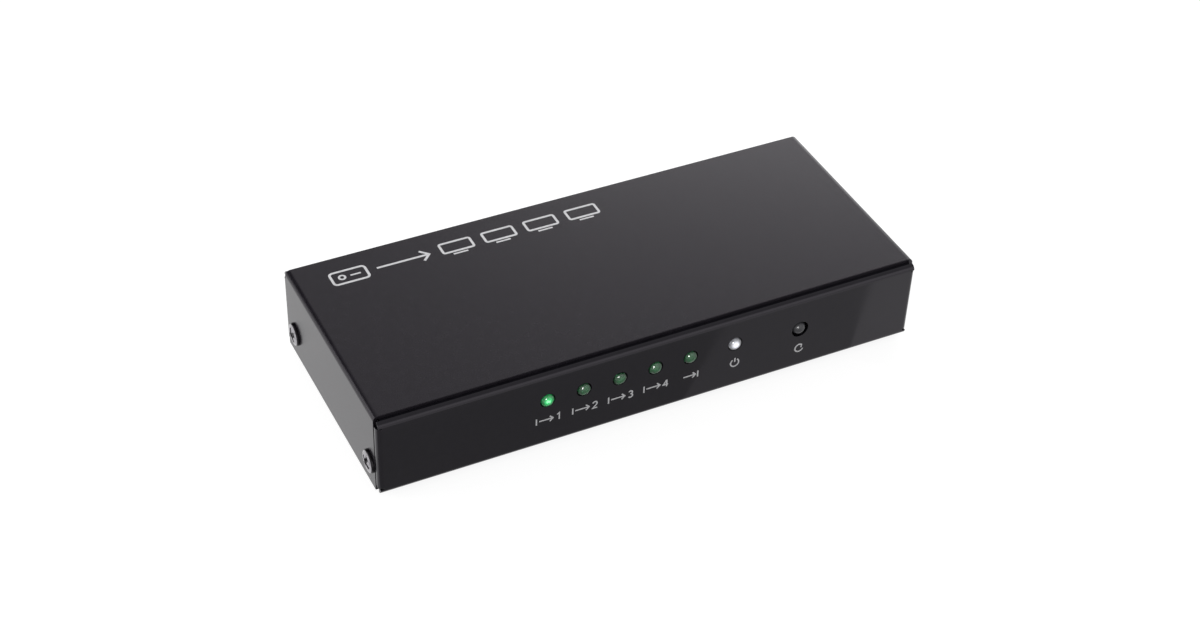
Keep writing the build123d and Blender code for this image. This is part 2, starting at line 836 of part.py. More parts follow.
def heat_sink():
    """An extruded plate with upright fins along Y."""
    x, y = board_place(chip_shares)
    low = board_top + chip_lift + chip_thickness + pad_thickness
    left = x - sink_size / 2
    plate = Pos(x, y, low) * Box(sink_size, sink_size, sink_base, align=ON_AXIS)
    thickness = sink_fin_share * sink_size / sink_fins
    pitch = (sink_size - thickness) / (sink_fins - 1)
    fin = Box(thickness, sink_size, sink_height, align=ON_AXIS)
    fins = [Pos(left + thickness / 2 + n * pitch, y, low) * fin for n in range(sink_fins)]
    return plate + fins


def voltage_regulator():
    """A moulded body with a soldered tab behind and three leads in front."""
    x, y = board_place(regulator_shares)
    width, depth, height = regulator_size
    top = board_top + chip_lift + chip_lead_thickness
    reach = depth / 2 + chip_lead_reach
    half_tab = regulator_tab_width / 2
    tab = block((x - half_tab, y, board_top), (x + half_tab, y + reach, top))
    body = packaged((x, y), width, depth, height) + tab
    for n in (-1, 0, 1):
        middle = x + n * width / 3
        low = (middle - chip_lead_width, y - reach, board_top)
        body = body + block(low, (middle + chip_lead_width, y, top))
    return body


def clock_crystal():
    """A drawn metal can with round ends on a flat base."""
    x, y = board_place(crystal_shares)
    width, depth, height = crystal_size
    base = Pos(x, y, board_top) * Box(width, depth, crystal_base, align=ON_AXIS)
    outline = SlotOverall(width - 2 * crystal_margin, depth - 2 * crystal_margin)
    return base + extrude(Pos(x, y, board_top + crystal_base) * outline, amount=height - crystal_base)


def power_inductor():
    """A shielded coil in a square ferrite with cut corners."""
    x, y = board_place(inductor_shares)
    body = Pos(x, y, board_top) * Box(inductor_size, inductor_size, inductor_height, align=ON_AXIS)
    return chamfer(body.edges().filter_by(Axis.Z), inductor_corner)


def filter_capacitors():
    """Round cans on square bases with two corners cut."""
    across = 2 * (capacitor_radius + capacitor_margin)
    base = Box(across, across, capacitor_base, align=ON_AXIS)
    base = chamfer(base.edges().filter_by(Axis.Z).group_by(Axis.Y)[0], capacitor_base)
    can = base + rod((0, 0, capacitor_base), (0, 0, 1), capacitor_radius, capacitor_height - capacitor_base)
    places = [board_place(shares) for shares in capacitor_share_places]
    return joined([Pos(x, y, board_top) * can for x, y in places])


def ceramic_parts():
    """A row of small ceramic parts behind each video socket."""
    width, depth, height = ceramic_size
    y = board_front + ceramic_row_share * board_depth
    part = Pos(0, y, board_top) * Box(depth, width, height, align=ON_AXIS)
    offsets = [share * socket_width for share in ceramic_places_shares]
    return joined([Pos(x + step, 0, 0) * part for x in socket_places() for step in offsets])


# Writing

def write(name, piece):
    """Moves a piece into the object's own frame and writes it."""
    front = front_y - max(lamp_proud, reset_proud)
    back = back_y + max(socket_proud, collar_proud)
    piece = Pos(0, -(front + back) / 2, foot_height) * piece
    export_step(piece, f"parts/{name}.step")


def main():
    os.makedirs("parts", exist_ok=True)
    write("base_chassis", base_chassis())
    write("top_cover", top_cover())
    write("cover_screws", cover_screws())
    write("rubber_feet", rubber_feet())
    write("board_standoffs", board_standoffs())
    write("board_screws", board_screws())
    write("main_board", main_board())
    shell = socket_shell()
    contacts = socket_contacts()
    insulator = socket_insulator()
    for name, x in zip(socket_names, socket_places()):
        write(f"{name}_shell", Pos(x, 0, 0) * shell)
        write(f"{name}_insulator", Pos(x, 0, 0) * insulator)
        write(f"{name}_contacts", Pos(x, 0, 0) * joined(contacts))
    write("power_jack_housing", jack_housing())
    write("power_jack_pin", jack_pin())
    write("power_jack_spring", jack_spring())
    for name, x in zip(lamp_names, lamp_places()):
        write(name, lamp(x))
    write("lamp_leads", lamp_leads())
    write("lamp_holders", joined([Pos(x, 0, 0) * lamp_holder() for x in lamp_places()]))
    pins = switch_pins()
    write("reset_switch_base", switch_base(pins))
    write("reset_switch_cover", switch_cover())
    write("reset_switch_terminals", joined(pins))
    write("reset_snap_dome", snap_dome())
    write("reset_button", reset_button())
    write("splitter_chip", packaged(board_place(chip_shares), chip_size, chip_size, chip_thickness))
    write("chip_leads", chip_leads())
    write("thermal_pad", thermal_pad())
    write("heat_sink", heat_sink())
    write("memory_chip", packaged(board_place(memory_shares), *memory_size))
    write("voltage_regulator", voltage_regulator())
    write("clock_crystal", clock_crystal())
    write("power_inductor", power_inductor())
    write("filter_capacitors", filter_capacitors())
    write("ceramic_parts", ceramic_parts())


main()
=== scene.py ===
# %% [markdown]
# # A small black video splitter, dressed in Blender
#
# The object is a folded sheet-steel box about 142 mm wide, with six small lamps and a reset
# plunger in its front, five video sockets and a power inlet in its back, and a board inside.
# The solids come from the CAD model, in metres, and they stay where they are. This lesson gives
# each of them a finish, and builds the few pieces whose charm is finer than a CAD solid: the
# domed lamps, the cross-recess screws, the plunger's cap and the printed marks.

# %% Load the frame
import json
import math

import bmesh
import bpy
import numpy as np
from mathutils import Matrix, Vector

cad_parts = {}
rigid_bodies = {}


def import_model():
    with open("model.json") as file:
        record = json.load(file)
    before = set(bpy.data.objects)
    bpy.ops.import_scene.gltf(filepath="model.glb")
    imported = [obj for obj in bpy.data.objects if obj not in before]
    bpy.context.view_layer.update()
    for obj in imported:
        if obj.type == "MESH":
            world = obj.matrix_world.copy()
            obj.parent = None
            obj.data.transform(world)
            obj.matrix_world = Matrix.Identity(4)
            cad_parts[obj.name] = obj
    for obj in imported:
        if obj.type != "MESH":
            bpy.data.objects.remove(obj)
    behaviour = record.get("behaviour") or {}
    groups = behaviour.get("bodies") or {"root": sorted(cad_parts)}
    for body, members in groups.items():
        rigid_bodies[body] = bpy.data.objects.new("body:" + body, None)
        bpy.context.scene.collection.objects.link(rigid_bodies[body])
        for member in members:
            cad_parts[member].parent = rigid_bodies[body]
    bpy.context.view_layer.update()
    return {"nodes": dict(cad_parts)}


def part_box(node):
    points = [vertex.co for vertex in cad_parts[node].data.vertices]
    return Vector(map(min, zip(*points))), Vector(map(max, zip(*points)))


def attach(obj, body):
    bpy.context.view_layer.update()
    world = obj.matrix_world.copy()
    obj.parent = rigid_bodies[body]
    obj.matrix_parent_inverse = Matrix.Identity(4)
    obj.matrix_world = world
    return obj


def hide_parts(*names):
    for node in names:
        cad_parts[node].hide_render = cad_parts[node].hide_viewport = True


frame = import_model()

MM = 0.001
nodes = frame["nodes"]
print("pieces in the frame:", len(nodes))

# %% [markdown]
# ## The camera
#
# The photograph looks down on the front left corner. The camera's place and lens were worked out
# from the box's corners: with a known width, height and depth, seven corners in the picture fix
# where a pinhole camera stood. It is turned about Z, tipped down, and rolled by a small angle.

# %% Place the camera
camera_place = Vector((-0.189882, -0.360854, 0.345920))
camera_turn, camera_tip, camera_roll = -27.73649, 39.63646, 2.43424
camera_data = bpy.data.cameras.new("camera")
camera_data.lens = 65.135
camera_data.sensor_width = 36.0
camera_data.clip_start = 0.01
camera_data.clip_end = 20.0


def put(name, data):
    """An object with its data, linked into the scene."""
    made = bpy.data.objects.new(name, data)
    bpy.context.scene.collection.objects.link(made)
    return made


camera = put("camera", camera_data)
camera.matrix_world = (
    Matrix.Translation(camera_place)
    @ Matrix.Rotation(math.radians(camera_turn), 4, "Z")
    @ Matrix.Rotation(math.radians(90.0 - camera_tip), 4, "X")
    @ Matrix.Rotation(math.radians(camera_roll), 4, "Z")
)
bpy.context.scene.camera = camera
print("camera is", round(camera_place.length, 3), "m from the object")

# %% [markdown]
# ## Surfaces as grids
#
# Every new piece here is a surface on a grid of two parameters. One helper joins a grid's rows
# and columns with four-sided faces, another turns a profile round an axis, and a third carries a
# small section along a path. A mesh made in this way has no stray faces, and its poles and seams
# are closed by merging the points that fall together.

# %% Helpers that join grids and make closed pieces
MERGE = 1e-7


def grid_faces(rows, columns):
    """Four corners of every cell of a grid whose last column meets its first."""
    row = np.arange(rows - 1)[:, None]
    column = np.arange(columns)[None, :]
    after = (column + 1) % columns
    corners = (row * columns + column, row * columns + after,
               (row + 1) * columns + after, (row + 1) * columns + column)
    return np.stack(corners, axis=-1).reshape(-1, 4)


def closed_piece(name, points, faces, smooth_below):
    """A mesh object from points and faces, with falling-together points merged and its faces outward.

    Edges that bend by more than smooth_below degrees stay crisp, and the others are shaded smooth.
    """
    mesh = bpy.data.meshes.new(name)
    mesh.from_pydata(np.asarray(points).reshape(-1, 3).tolist(), [], np.asarray(faces).tolist())
    shape = bmesh.new()
    shape.from_mesh(mesh)
    bmesh.ops.remove_doubles(shape, verts=shape.verts, dist=MERGE)
    bmesh.ops.dissolve_degenerate(shape, edges=shape.edges, dist=MERGE)
    bmesh.ops.recalc_face_normals(shape, faces=shape.faces)
    shape.to_mesh(mesh)
    shape.free()
    mesh.shade_smooth()
    mesh.set_sharp_from_angle(angle=math.radians(smooth_below))
    print(name, len(mesh.polygons), "faces")
    return put(name, mesh)


def point_places(piece):
    """A piece's points as rows of x, y and z."""
    places = np.empty(len(piece.data.vertices) * 3, np.float32)
    piece.data.vertices.foreach_get("co", places)
    return places.reshape(-1, 3)


def store(piece, name, values):
    """Stores one number on each of a piece's points, for its material to read."""
    attribute = piece.data.attributes.new(name, "FLOAT", "POINT")
    attribute.data.foreach_set("value", values.astype(np.float32))


def middle_of(name):
    """The low and high corners of a solid's box, and the middle between them."""
    low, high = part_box(name)
    return low, high, (low + high) / 2.0


def ring_round(axis, around):
    """Angles of one turn round an axis, and the directions cos(angle) * u + sin(angle) * v, where u
    and v are square to the axis and to each other."""
    axis = np.asarray(axis, float)
    other = np.array((0.0, 0.0, 1.0)) if abs(axis[2]) < 0.9 else np.array((1.0, 0.0, 0.0))
    u = np.cross(other, axis)
    u /= np.linalg.norm(u)
    angle = np.linspace(0.0, 2.0 * np.pi, around, endpoint=False)
    return angle, np.cos(angle)[:, None] * u + np.sin(angle)[:, None] * np.cross(axis, u)


def turned(name, profile, start, axis, around):
    """A closed piece from a profile that begins and ends on its axis, turned round it once.

    The profile's rows are (along, radius), and a point is start + along * axis + radius * ring.
    """
    along, radius = np.asarray(profile, float).T
    spine = np.asarray(start, float) + along[:, None] * np.asarray(axis, float)
    points = spine[:, None, :] + radius[:, None, None] * ring_round(axis, around)[1]
    return closed_piece(name, points, grid_faces(len(profile), around), 50.0)


def arc(middle, radius, first=0.0, last=360.0, steps=40):
    """Points of a circle, or of a part of one from the first angle to the last, in degrees:
    middle + radius * (cos(angle), sin(angle))."""
    angle = np.radians(np.linspace(first, last, steps))
    return np.stack((middle[0] + radius * np.cos(angle), middle[1] + radius * np.sin(angle)), axis=1)


# %% [markdown]
# ## Shared effects
#
# Three effects come back in many finishes, so each is a node group that is built once: the fine
# swell and grain of a sprayed or moulded surface, the pale line that handling leaves along an
# edge, and the streaks that brushing or drawing leaves in a metal. They read Object coordinates,
# which are metres here, so a scale of 2000 gives detail about half a millimetre across.

# %% Helpers that build node trees


def new_group(name, outputs, inputs):
    """An empty shader node group and its two end nodes. An input whose value has three parts is a
    vector, and every other input or output is a number."""
    group = bpy.data.node_groups.new(name, "ShaderNodeTree")
    for label, value in inputs.items():
        kind = "NodeSocketVector" if isinstance(value, tuple) else "NodeSocketFloat"
        socket = group.interface.new_socket(name=label, in_out="INPUT", socket_type=kind)
        socket.default_value = value
    for label in outputs:
        group.interface.new_socket(name=label, in_out="OUTPUT", socket_type="NodeSocketFloat")
    return group, group.nodes.new("NodeGroupInput"), group.nodes.new("NodeGroupOutput")


def fill(node, values):
    """Sets plain values on a node's named sockets."""
    for key, value in values.items():
        node.inputs[key].default_value = value


def add(tree, kind, values=None, **settings):
    """A shader node in a tree, with its settings and the plain values of its sockets."""
    node = tree.nodes.new("ShaderNode" + kind)
    for key, value in settings.items():
        setattr(node, key, value)
    fill(node, values or {})
    return node


def wire(tree, *pairs):
    """Links given as (from_socket, to_socket)."""
    for source, target in pairs:
        tree.links.new(source, target)


def feed(tree, value, socket):
    """Gives a socket a link from another one, a number, or a colour's three numbers."""
    if isinstance(value, bpy.types.NodeSocket):
        tree.links.new(value, socket)
    else:
        socket.default_value = (*value, 1.0) if isinstance(value, tuple) else value


def maths(tree, operation, first, second=0.0, clamp=False):
    """A Math node whose inputs are sockets or numbers, and its result."""
    node = add(tree, "Math", operation=operation, use_clamp=clamp)
    feed(tree, first, node.inputs[0])
    feed(tree, second, node.inputs[1])
    return node.outputs[0]


def noise(tree, vector, scale, detail, roughness=0.55):
    """A Noise texture's plain value."""
    node = add(tree, "TexNoise", {"Detail": detail, "Roughness": roughness})
    feed(tree, vector, node.inputs["Vector"])
    feed(tree, scale, node.inputs["Scale"])
    return node.outputs["Fac"]


def spread(tree, value, low, high, to_low=0.0, to_high=1.0):
    """A value taken from one range to another, held at its ends."""
    node = add(tree, "MapRange",
               {"From Min": low, "From Max": high, "To Min": to_low, "To Max": to_high})
    tree.links.new(value, node.inputs["Value"])
    return node.outputs["Result"]


# %% The grain of sprayed and moulded surfaces


def build_grain():
    """Swell plus grain: a slow noise for the way a coat levels, and a quick one for its grain.

    Height is swell * slow + grain * quick, and Mottle is the slow noise from 0 to 1.
    """
    group, entry, exit_node = new_group(
        "surface_grain", ("Height", "Mottle", "Speck"),
        {"Swell Scale": 900.0, "Grain Scale": 5000.0, "Swell": 0.5, "Grain": 0.5})
    place = add(group, "TexCoord").outputs["Object"]
    slow = noise(group, place, entry.outputs["Swell Scale"], 2.0, 0.5)
    quick = noise(group, place, entry.outputs["Grain Scale"], 3.0, 0.6)
    height = maths(group, "ADD", maths(group, "MULTIPLY", slow, entry.outputs["Swell"]),
                   maths(group, "MULTIPLY", quick, entry.outputs["Grain"]))
    wire(group, (height, exit_node.inputs["Height"]),
         (spread(group, slow, 0.3, 0.7), exit_node.inputs["Mottle"]),
         (spread(group, quick, 0.35, 0.65), exit_node.inputs["Speck"]))
    return group


grain_group = build_grain()
print("built", grain_group.name)

# %% The pale line along an edge


def build_edge_wear():
    """How far a softened normal leans from the true one, broken up by noise.

    The Bevel node rounds the normals near an edge; one minus the dot product of that normal and
    the true one is zero on a flat and grows along an edge.
    """
    group, entry, exit_node = new_group(
        "edge_wear", ("Mask",), {"Width": 0.0003, "Amount": 1.0, "Break Scale": 600.0})
    rounded = add(group, "Bevel", samples=4)
    wire(group, (entry.outputs["Width"], rounded.inputs["Radius"]))
    facing = add(group, "VectorMath", operation="DOT_PRODUCT")
    true_normal = add(group, "NewGeometry").outputs["Normal"]
    wire(group, (rounded.outputs["Normal"], facing.inputs[0]), (true_normal, facing.inputs[1]))
    lean = maths(group, "SUBTRACT", 1.0, facing.outputs["Value"])
    place = add(group, "TexCoord").outputs["Object"]
    patches = spread(group, noise(group, place, entry.outputs["Break Scale"], 4.0, 0.6), 0.42, 0.62)
    mask = maths(group, "MULTIPLY", spread(group, lean, 0.04, 0.22), patches)
    wire(group, (maths(group, "MULTIPLY", mask, entry.outputs["Amount"], clamp=True),
                 exit_node.inputs["Mask"]))
    return group


wear_group = build_edge_wear()
print("built", wear_group.name)

# %% The streaks of drawn and brushed metal


def build_streaks():
    """Noise stretched along one axis: coordinates are multiplied by a vector whose smallest part
    is the brushing's direction, and Streak is that noise from 0 to 1."""
    group, entry, exit_node = new_group(
        "metal_streaks", ("Streak", "Height"), {"Stretch": (400.0, 9000.0, 9000.0)})
    place = add(group, "TexCoord").outputs["Object"]
    stretched = add(group, "VectorMath", operation="MULTIPLY")
    wire(group, (place, stretched.inputs[0]), (entry.outputs["Stretch"], stretched.inputs[1]))
    lines = noise(group, stretched.outputs["Vector"], 1.0, 4.0, 0.6)
    wire(group, (spread(group, lines, 0.3, 0.7), exit_node.inputs["Streak"]),
         (lines, exit_node.inputs["Height"]))
    return group


streak_group = build_streaks()
print("built", streak_group.name)

# %% [markdown]
# ## A finish in one call
#
# Most finishes here differ only in their colours and in how much of each effect they take. One
# function therefore builds the whole tree: two colours mixed by the grain's mottle, a third
# colour where an edge is worn, a roughness that wanders, and a bump from the grain or from the
# streaks. Values that are the same all over go straight on the shader's own sockets.

# %% The function that builds a finish
wear_width, crease_angle = 0.25 * MM, math.radians(30.0)


def place_group(tree, group, values):
    """A group node in a material, with the values that this finish gives to its inputs."""
    return add(tree, "Group", values, node_tree=group)


def mix_colour(tree, factor, first, second):
    """Two colours mixed by a factor; each is a socket or three numbers."""
    node = add(tree, "Mix", data_type="RGBA")
    feed(tree, factor, node.inputs["Factor"])
    start, end = [socket for socket in node.inputs if socket.type == "RGBA"]
    feed(tree, first, start)
    feed(tree, second, end)
    return [socket for socket in node.outputs if socket.type == "RGBA"][0]


def start_material(name):
    """A new material with its tree, its shader and nothing else."""
    material = bpy.data.materials.new(name)
    material.use_nodes = True
    tree = material.node_tree
    shader = tree.nodes["Principled BSDF"]
    return material, tree, shader


def coat(tree, shader, surface, colour, rough, height, bump):
    """Wires a colour, a roughness and a relief into a shader, and gives the relief's node.

    Roughness goes between rough's two values with the surface's specks, and the relief stands bump
    metres high where its height is one.
    """
    roughness = spread(tree, surface.outputs["Speck"], 0.0, 1.0, *rough)
    relief = add(tree, "Bump", {"Strength": 1.0, "Distance": bump})
    wire(tree, (colour, shader.inputs["Base Color"]), (roughness, shader.inputs["Roughness"]),
         (height, relief.inputs["Height"]), (relief.outputs["Normal"], shader.inputs["Normal"]))
    return relief


def finish(name, dark, pale, rough, worn=None, wear=0.0, swell=(900.0, 0.5), grain=(5000.0, 0.5),
           bump=0.00001, streaks=None, rounded=0.0, **sockets):
    """A procedural finish.

    Colour goes from dark to pale with the mottle and to worn along edges; roughness goes between
    rough's two values with the specks; the bump's height is bump metres times the grain's height.
    With rounded, normals turn smoothly round a crisp edge within that many metres of it.
    """
    material, tree, shader = start_material(name)
    surface = place_group(tree, grain_group, {"Swell Scale": swell[0], "Swell": swell[1],
                                              "Grain Scale": grain[0], "Grain": grain[1]})
    blend = surface.outputs["Mottle"]
    height = surface.outputs["Height"]
    if streaks:
        lines = place_group(tree, streak_group, {"Stretch": streaks})
        blend = lines.outputs["Streak"]
        height = maths(tree, "ADD", lines.outputs["Height"], maths(tree, "MULTIPLY", height, 0.3))
    colour = mix_colour(tree, blend, dark, pale)
    if worn:
        edges = place_group(tree, wear_group, {"Width": wear_width, "Amount": wear})
        colour = mix_colour(tree, edges.outputs["Mask"], colour, worn)
    relief = coat(tree, shader, surface, colour, rough, height, bump)
    if rounded:
        corners = add(tree, "Bevel", {"Radius": rounded}, samples=6)
        wire(tree, (corners.outputs["Normal"], relief.inputs["Normal"]))
    fill(shader, {key.replace("_", " ").title().replace("Ior", "IOR"): value
                  for key, value in sockets.items()})
    return material


def dress(material, *names):
    """Gives a material to every slot of the named solids."""
    for name in names:
        data = nodes[name].data
        if not data.materials:
            data.materials.append(material)
        for index in range(len(data.materials)):
            data.materials[index] = material


def soften(width, *names):
    """Welds the loose triangles of solids and shades them, with their own meshes left as they are.

    With a width, crisp edges are rounded by it. Without one they are only split, and each flat
    keeps its own normal, because normals are weighted by the area of the faces round a point.
    """
    for name in names:
        solid = nodes[name]
        solid.data.polygons.foreach_set("use_smooth", np.ones(len(solid.data.polygons), dtype=bool))
        solid.modifiers.new("weld", "WELD").merge_threshold = MERGE
        if width:
            bevel = solid.modifiers.new("edges", "BEVEL")
            bevel.width = width
            bevel.segments = 2
            bevel.limit_method = "ANGLE"
            bevel.angle_limit = crease_angle
            bevel.face_strength_mode = "FSTR_ALL"
        else:
            solid.modifiers.new("creases", "EDGE_SPLIT").split_angle = crease_angle
        flats = solid.modifiers.new("flats", "WEIGHTED_NORMAL")
        flats.weight = 100
        flats.use_face_influence = bool(width)


def clothe(solids, width, name, *colours, **values):
    """Makes a finish, gives it to solids, and softens their edges by a width or splits them."""
    material = finish(name, *colours, **values)
    dress(material, *solids)
    soften(width, *solids)
    print(name, "on", len(solids), "solids")
    return material


# %% [markdown]
# ## The painted case
#
# Both parts of the case are black-painted steel. The cover is a satin coat with a very fine
# grain, and the base, whose front face carries the lamps, is smoother and darker. In the picture
# the steep left side shines much more than the top, which is what a clear dielectric coat does
# when it is seen at a flat angle, so the gloss is left to the shader and the studio.

# %% Paint the case
spray = {"wear": 0.25, "swell": (500.0, 0.6), "grain": (9000.0, 0.5), "bump": 0.000004,
         "specular_tint": (0.96, 0.90, 1.0, 1.0)}
clothe(["top_cover"], None, "cover_paint", (0.0100, 0.0084, 0.0118), (0.0135, 0.0116, 0.0158),
       (0.20, 0.27), worn=(0.040, 0.036, 0.042), rounded=0.16 * MM, specular_ior_level=0.30, **spray)
clothe(["base_chassis"], None, "base_paint", (0.0056, 0.0053, 0.0076), (0.0080, 0.0075, 0.0104),
       (0.12, 0.17), worn=(0.040, 0.038, 0.042), rounded=0.20 * MM, specular_ior_level=0.35, **spray)

# %% [markdown]
# ## Rubber, brass and the metals of the inside
#
# The feet are matt rubber. The standoffs are turned brass, the sockets' shells nickel-plated
# steel, and the contacts gold-flashed. Leads are tinned, and the inlet's spring and pin and the
# switch's dome and cover are bright steel.

# %% Finish the feet, fixings and sockets
sockets = [f"video_out_{i}" for i in (1, 2, 3, 4)] + ["video_in"]
shells, insulators, contacts = ([f"{socket}_{part}" for socket in sockets]
                                for part in ("shell", "insulator", "contacts"))
clothe(["rubber_feet"], 0.4 * MM, "foot_rubber", (0.012, 0.012, 0.012), (0.028, 0.027, 0.026),
       (0.72, 0.88), worn=(0.07, 0.068, 0.065), wear=0.6, swell=(300.0, 0.5), grain=(3500.0, 0.7),
       bump=0.00002, specular_ior_level=0.3)
clothe(["board_standoffs"], 0.04 * MM, "standoff_brass", (0.58, 0.40, 0.15), (0.74, 0.54, 0.24),
       (0.22, 0.34), worn=(0.85, 0.68, 0.36), wear=0.5, streaks=(9000.0, 9000.0, 400.0),
       bump=0.000003, metallic=1.0)
clothe(shells, 0.04 * MM, "socket_nickel", (0.52, 0.50, 0.47), (0.66, 0.645, 0.61), (0.20, 0.32),
       worn=(0.82, 0.80, 0.77), wear=0.6, swell=(350.0, 0.5), grain=(6000.0, 0.4),
       streaks=(6000.0, 500.0, 6000.0), bump=0.000002, metallic=1.0)
clothe(contacts, None, "contact_gold", (0.78, 0.52, 0.17), (0.90, 0.66, 0.27), (0.18, 0.28),
       swell=(800.0, 0.5), grain=(9000.0, 0.4), bump=0.000001, metallic=1.0)
clothe(["lamp_leads", "chip_leads", "reset_switch_terminals"], None, "tinned_leads",
       (0.52, 0.52, 0.53), (0.70, 0.70, 0.70), (0.26, 0.40), swell=(900.0, 0.6),
       grain=(7000.0, 0.4), bump=0.000003, metallic=1.0)
clothe(["power_jack_spring", "power_jack_pin", "reset_snap_dome", "reset_switch_cover"], None,
       "bright_steel", (0.48, 0.48, 0.47), (0.64, 0.64, 0.62), (0.22, 0.36),
       worn=(0.80, 0.80, 0.78), wear=0.5, streaks=(700.0, 8000.0, 8000.0), bump=0.000002,
       metallic=1.0)

# %% [markdown]
# ## Moulded plastics and the parts on the board
#
# The insulators and the power inlet are moulded plastic with a spark-eroded grain. Chips are matt
# black epoxy, a ferrite is a dull sintered grey, and the small capacitors are a speckled tan
# ceramic. The heat sink is anodised aluminium, whose extrusion leaves lines along its fins.

# %% Finish the plastics, the chips and the small parts
clothe(insulators, None, "insulator_plastic", (0.011, 0.011, 0.012), (0.020, 0.020, 0.021),
       (0.42, 0.58), worn=(0.05, 0.05, 0.05), wear=0.4, bump=0.000006)
clothe(["power_jack_housing"], 0.08 * MM, "jack_plastic", (0.014, 0.014, 0.015),
       (0.023, 0.023, 0.024), (0.38, 0.52), worn=(0.06, 0.06, 0.06), wear=0.5, grain=(6000.0, 0.6),
       bump=0.000008)
clothe(["splitter_chip", "memory_chip", "voltage_regulator"], 0.08 * MM, "chip_epoxy",
       (0.018, 0.018, 0.019), (0.034, 0.034, 0.035), (0.50, 0.68), worn=(0.07, 0.07, 0.07),
       wear=0.4, grain=(8000.0, 0.6), bump=0.000006)
clothe(["thermal_pad"], None, "pad_silicone", (0.27, 0.32, 0.37), (0.37, 0.42, 0.47), (0.62, 0.78),
       swell=(500.0, 0.7), grain=(4000.0, 0.4), bump=0.00001)
clothe(["heat_sink"], None, "sink_aluminium", (0.030, 0.031, 0.033), (0.055, 0.056, 0.060),
       (0.34, 0.48), worn=(0.45, 0.46, 0.48), wear=0.5, streaks=(500.0, 9000.0, 9000.0),
       bump=0.000004, metallic=1.0)
clothe(["power_inductor"], 0.08 * MM, "ferrite", (0.050, 0.050, 0.052), (0.095, 0.094, 0.097),
       (0.55, 0.75), worn=(0.16, 0.16, 0.16), wear=0.6, grain=(5000.0, 0.8), bump=0.00001)
cans = clothe(["filter_capacitors"], None, "can_aluminium", (0.62, 0.62, 0.63), (0.78, 0.78, 0.79),
              (0.26, 0.38), worn=(0.88, 0.88, 0.88), wear=0.5, streaks=(9000.0, 9000.0, 500.0),
              bump=0.000002, metallic=1.0)
dress(cans, "clock_crystal")
soften(0.08 * MM, "clock_crystal")
clothe(["ceramic_parts"], None, "part_ceramic", (0.34, 0.25, 0.16), (0.52, 0.41, 0.29),
       (0.40, 0.60), worn=(0.66, 0.60, 0.50), wear=0.6, grain=(6000.0, 0.7), bump=0.000006)
clothe(["reset_switch_base", "lamp_holders"], 0.08 * MM, "switch_plastic", (0.016, 0.016, 0.017),
       (0.026, 0.026, 0.027), (0.40, 0.56), worn=(0.06, 0.06, 0.06), wear=0.4, bump=0.000006)

# %% [markdown]
# ## The circuit board
#
# A board is glass cloth in resin, with copper tracks under a green lacquer. Tracks run along the
# board and across it in straight lines, so they are the middles of cells that are stretched along X
# or along Y, and a slow noise chooses between the two. The lacquer is paler and stands a little
# higher over the copper, and the board's cut edge shows the bare yellowish resin.

# %% Make the board's lacquer with its tracks


def build_board_lacquer():
    """Green lacquer: the colour goes from dark to pale over the copper, which is near the middle of
    a stretched cell, and the sides show bare resin where the normal's vertical part is small."""
    material, tree, shader = start_material("board_laminate")
    place = add(tree, "TexCoord").outputs["Object"]
    tracks = []
    for stretch in ((90.0, 1300.0, 1.0), (1300.0, 90.0, 1.0)):
        run = add(tree, "VectorMath", operation="MULTIPLY")
        run.inputs[1].default_value = stretch
        wire(tree, (place, run.inputs[0]))
        cell = add(tree, "TexVoronoi", {"Scale": 1.0, "Randomness": 0.75},
                   distance="CHEBYCHEV", feature="F1")
        wire(tree, (run.outputs["Vector"], cell.inputs["Vector"]))
        tracks.append(spread(tree, cell.outputs["Distance"], 0.30, 0.34, 1.0, 0.0))
    zone = spread(tree, noise(tree, place, 60.0, 1.0, 0.3), 0.46, 0.54)
    copper = maths(tree, "MAXIMUM", maths(tree, "MULTIPLY", tracks[0], zone),
                   maths(tree, "MULTIPLY", tracks[1], maths(tree, "SUBTRACT", 1.0, zone)))
    surface = place_group(tree, grain_group, {"Swell Scale": 400.0, "Grain Scale": 7000.0})
    lacquer = mix_colour(tree, copper, (0.006, 0.070, 0.028), (0.016, 0.135, 0.052))
    upright = add(tree, "SeparateXYZ")
    wire(tree, (add(tree, "NewGeometry").outputs["Normal"], upright.inputs["Vector"]))
    side = spread(tree, maths(tree, "ABSOLUTE", upright.outputs["Z"]), 0.3, 0.6, 1.0, 0.0)
    colour = mix_colour(tree, side, lacquer, (0.32, 0.27, 0.12))
    height = maths(tree, "ADD", copper, maths(tree, "MULTIPLY", surface.outputs["Height"], 0.15))
    coat(tree, shader, surface, colour, (0.24, 0.36), height, 0.00002)
    return material


board_laminate = build_board_lacquer()
dress(board_laminate, "main_board")
soften(None, "main_board")
print("lacquered the board")

# %% [markdown]
# ## Lamps
#
# A lamp is a short epoxy barrel with a shallow dome that stands proud of its hole. The resin is
# clear at its skin and milky within, so a lamp that is off still shows deep green, with one small
# highlight where the front light meets the dome. Two closed profiles are turned round the lamp's
# axis: the clear lens, and inside it the milky core that carries the colour and the glow. The
# core's colour is painted darker towards its rim, a painted shade that dims the edge of the dome.

# %% Profiles of the lens and its core
forward = Vector((0.0, -1.0, 0.0))
lamp_crown = 0.70 * MM
lamp_names = [f"out_{i}_lamp" for i in (1, 2, 3, 4)] + ["in_lamp", "power_lamp"]


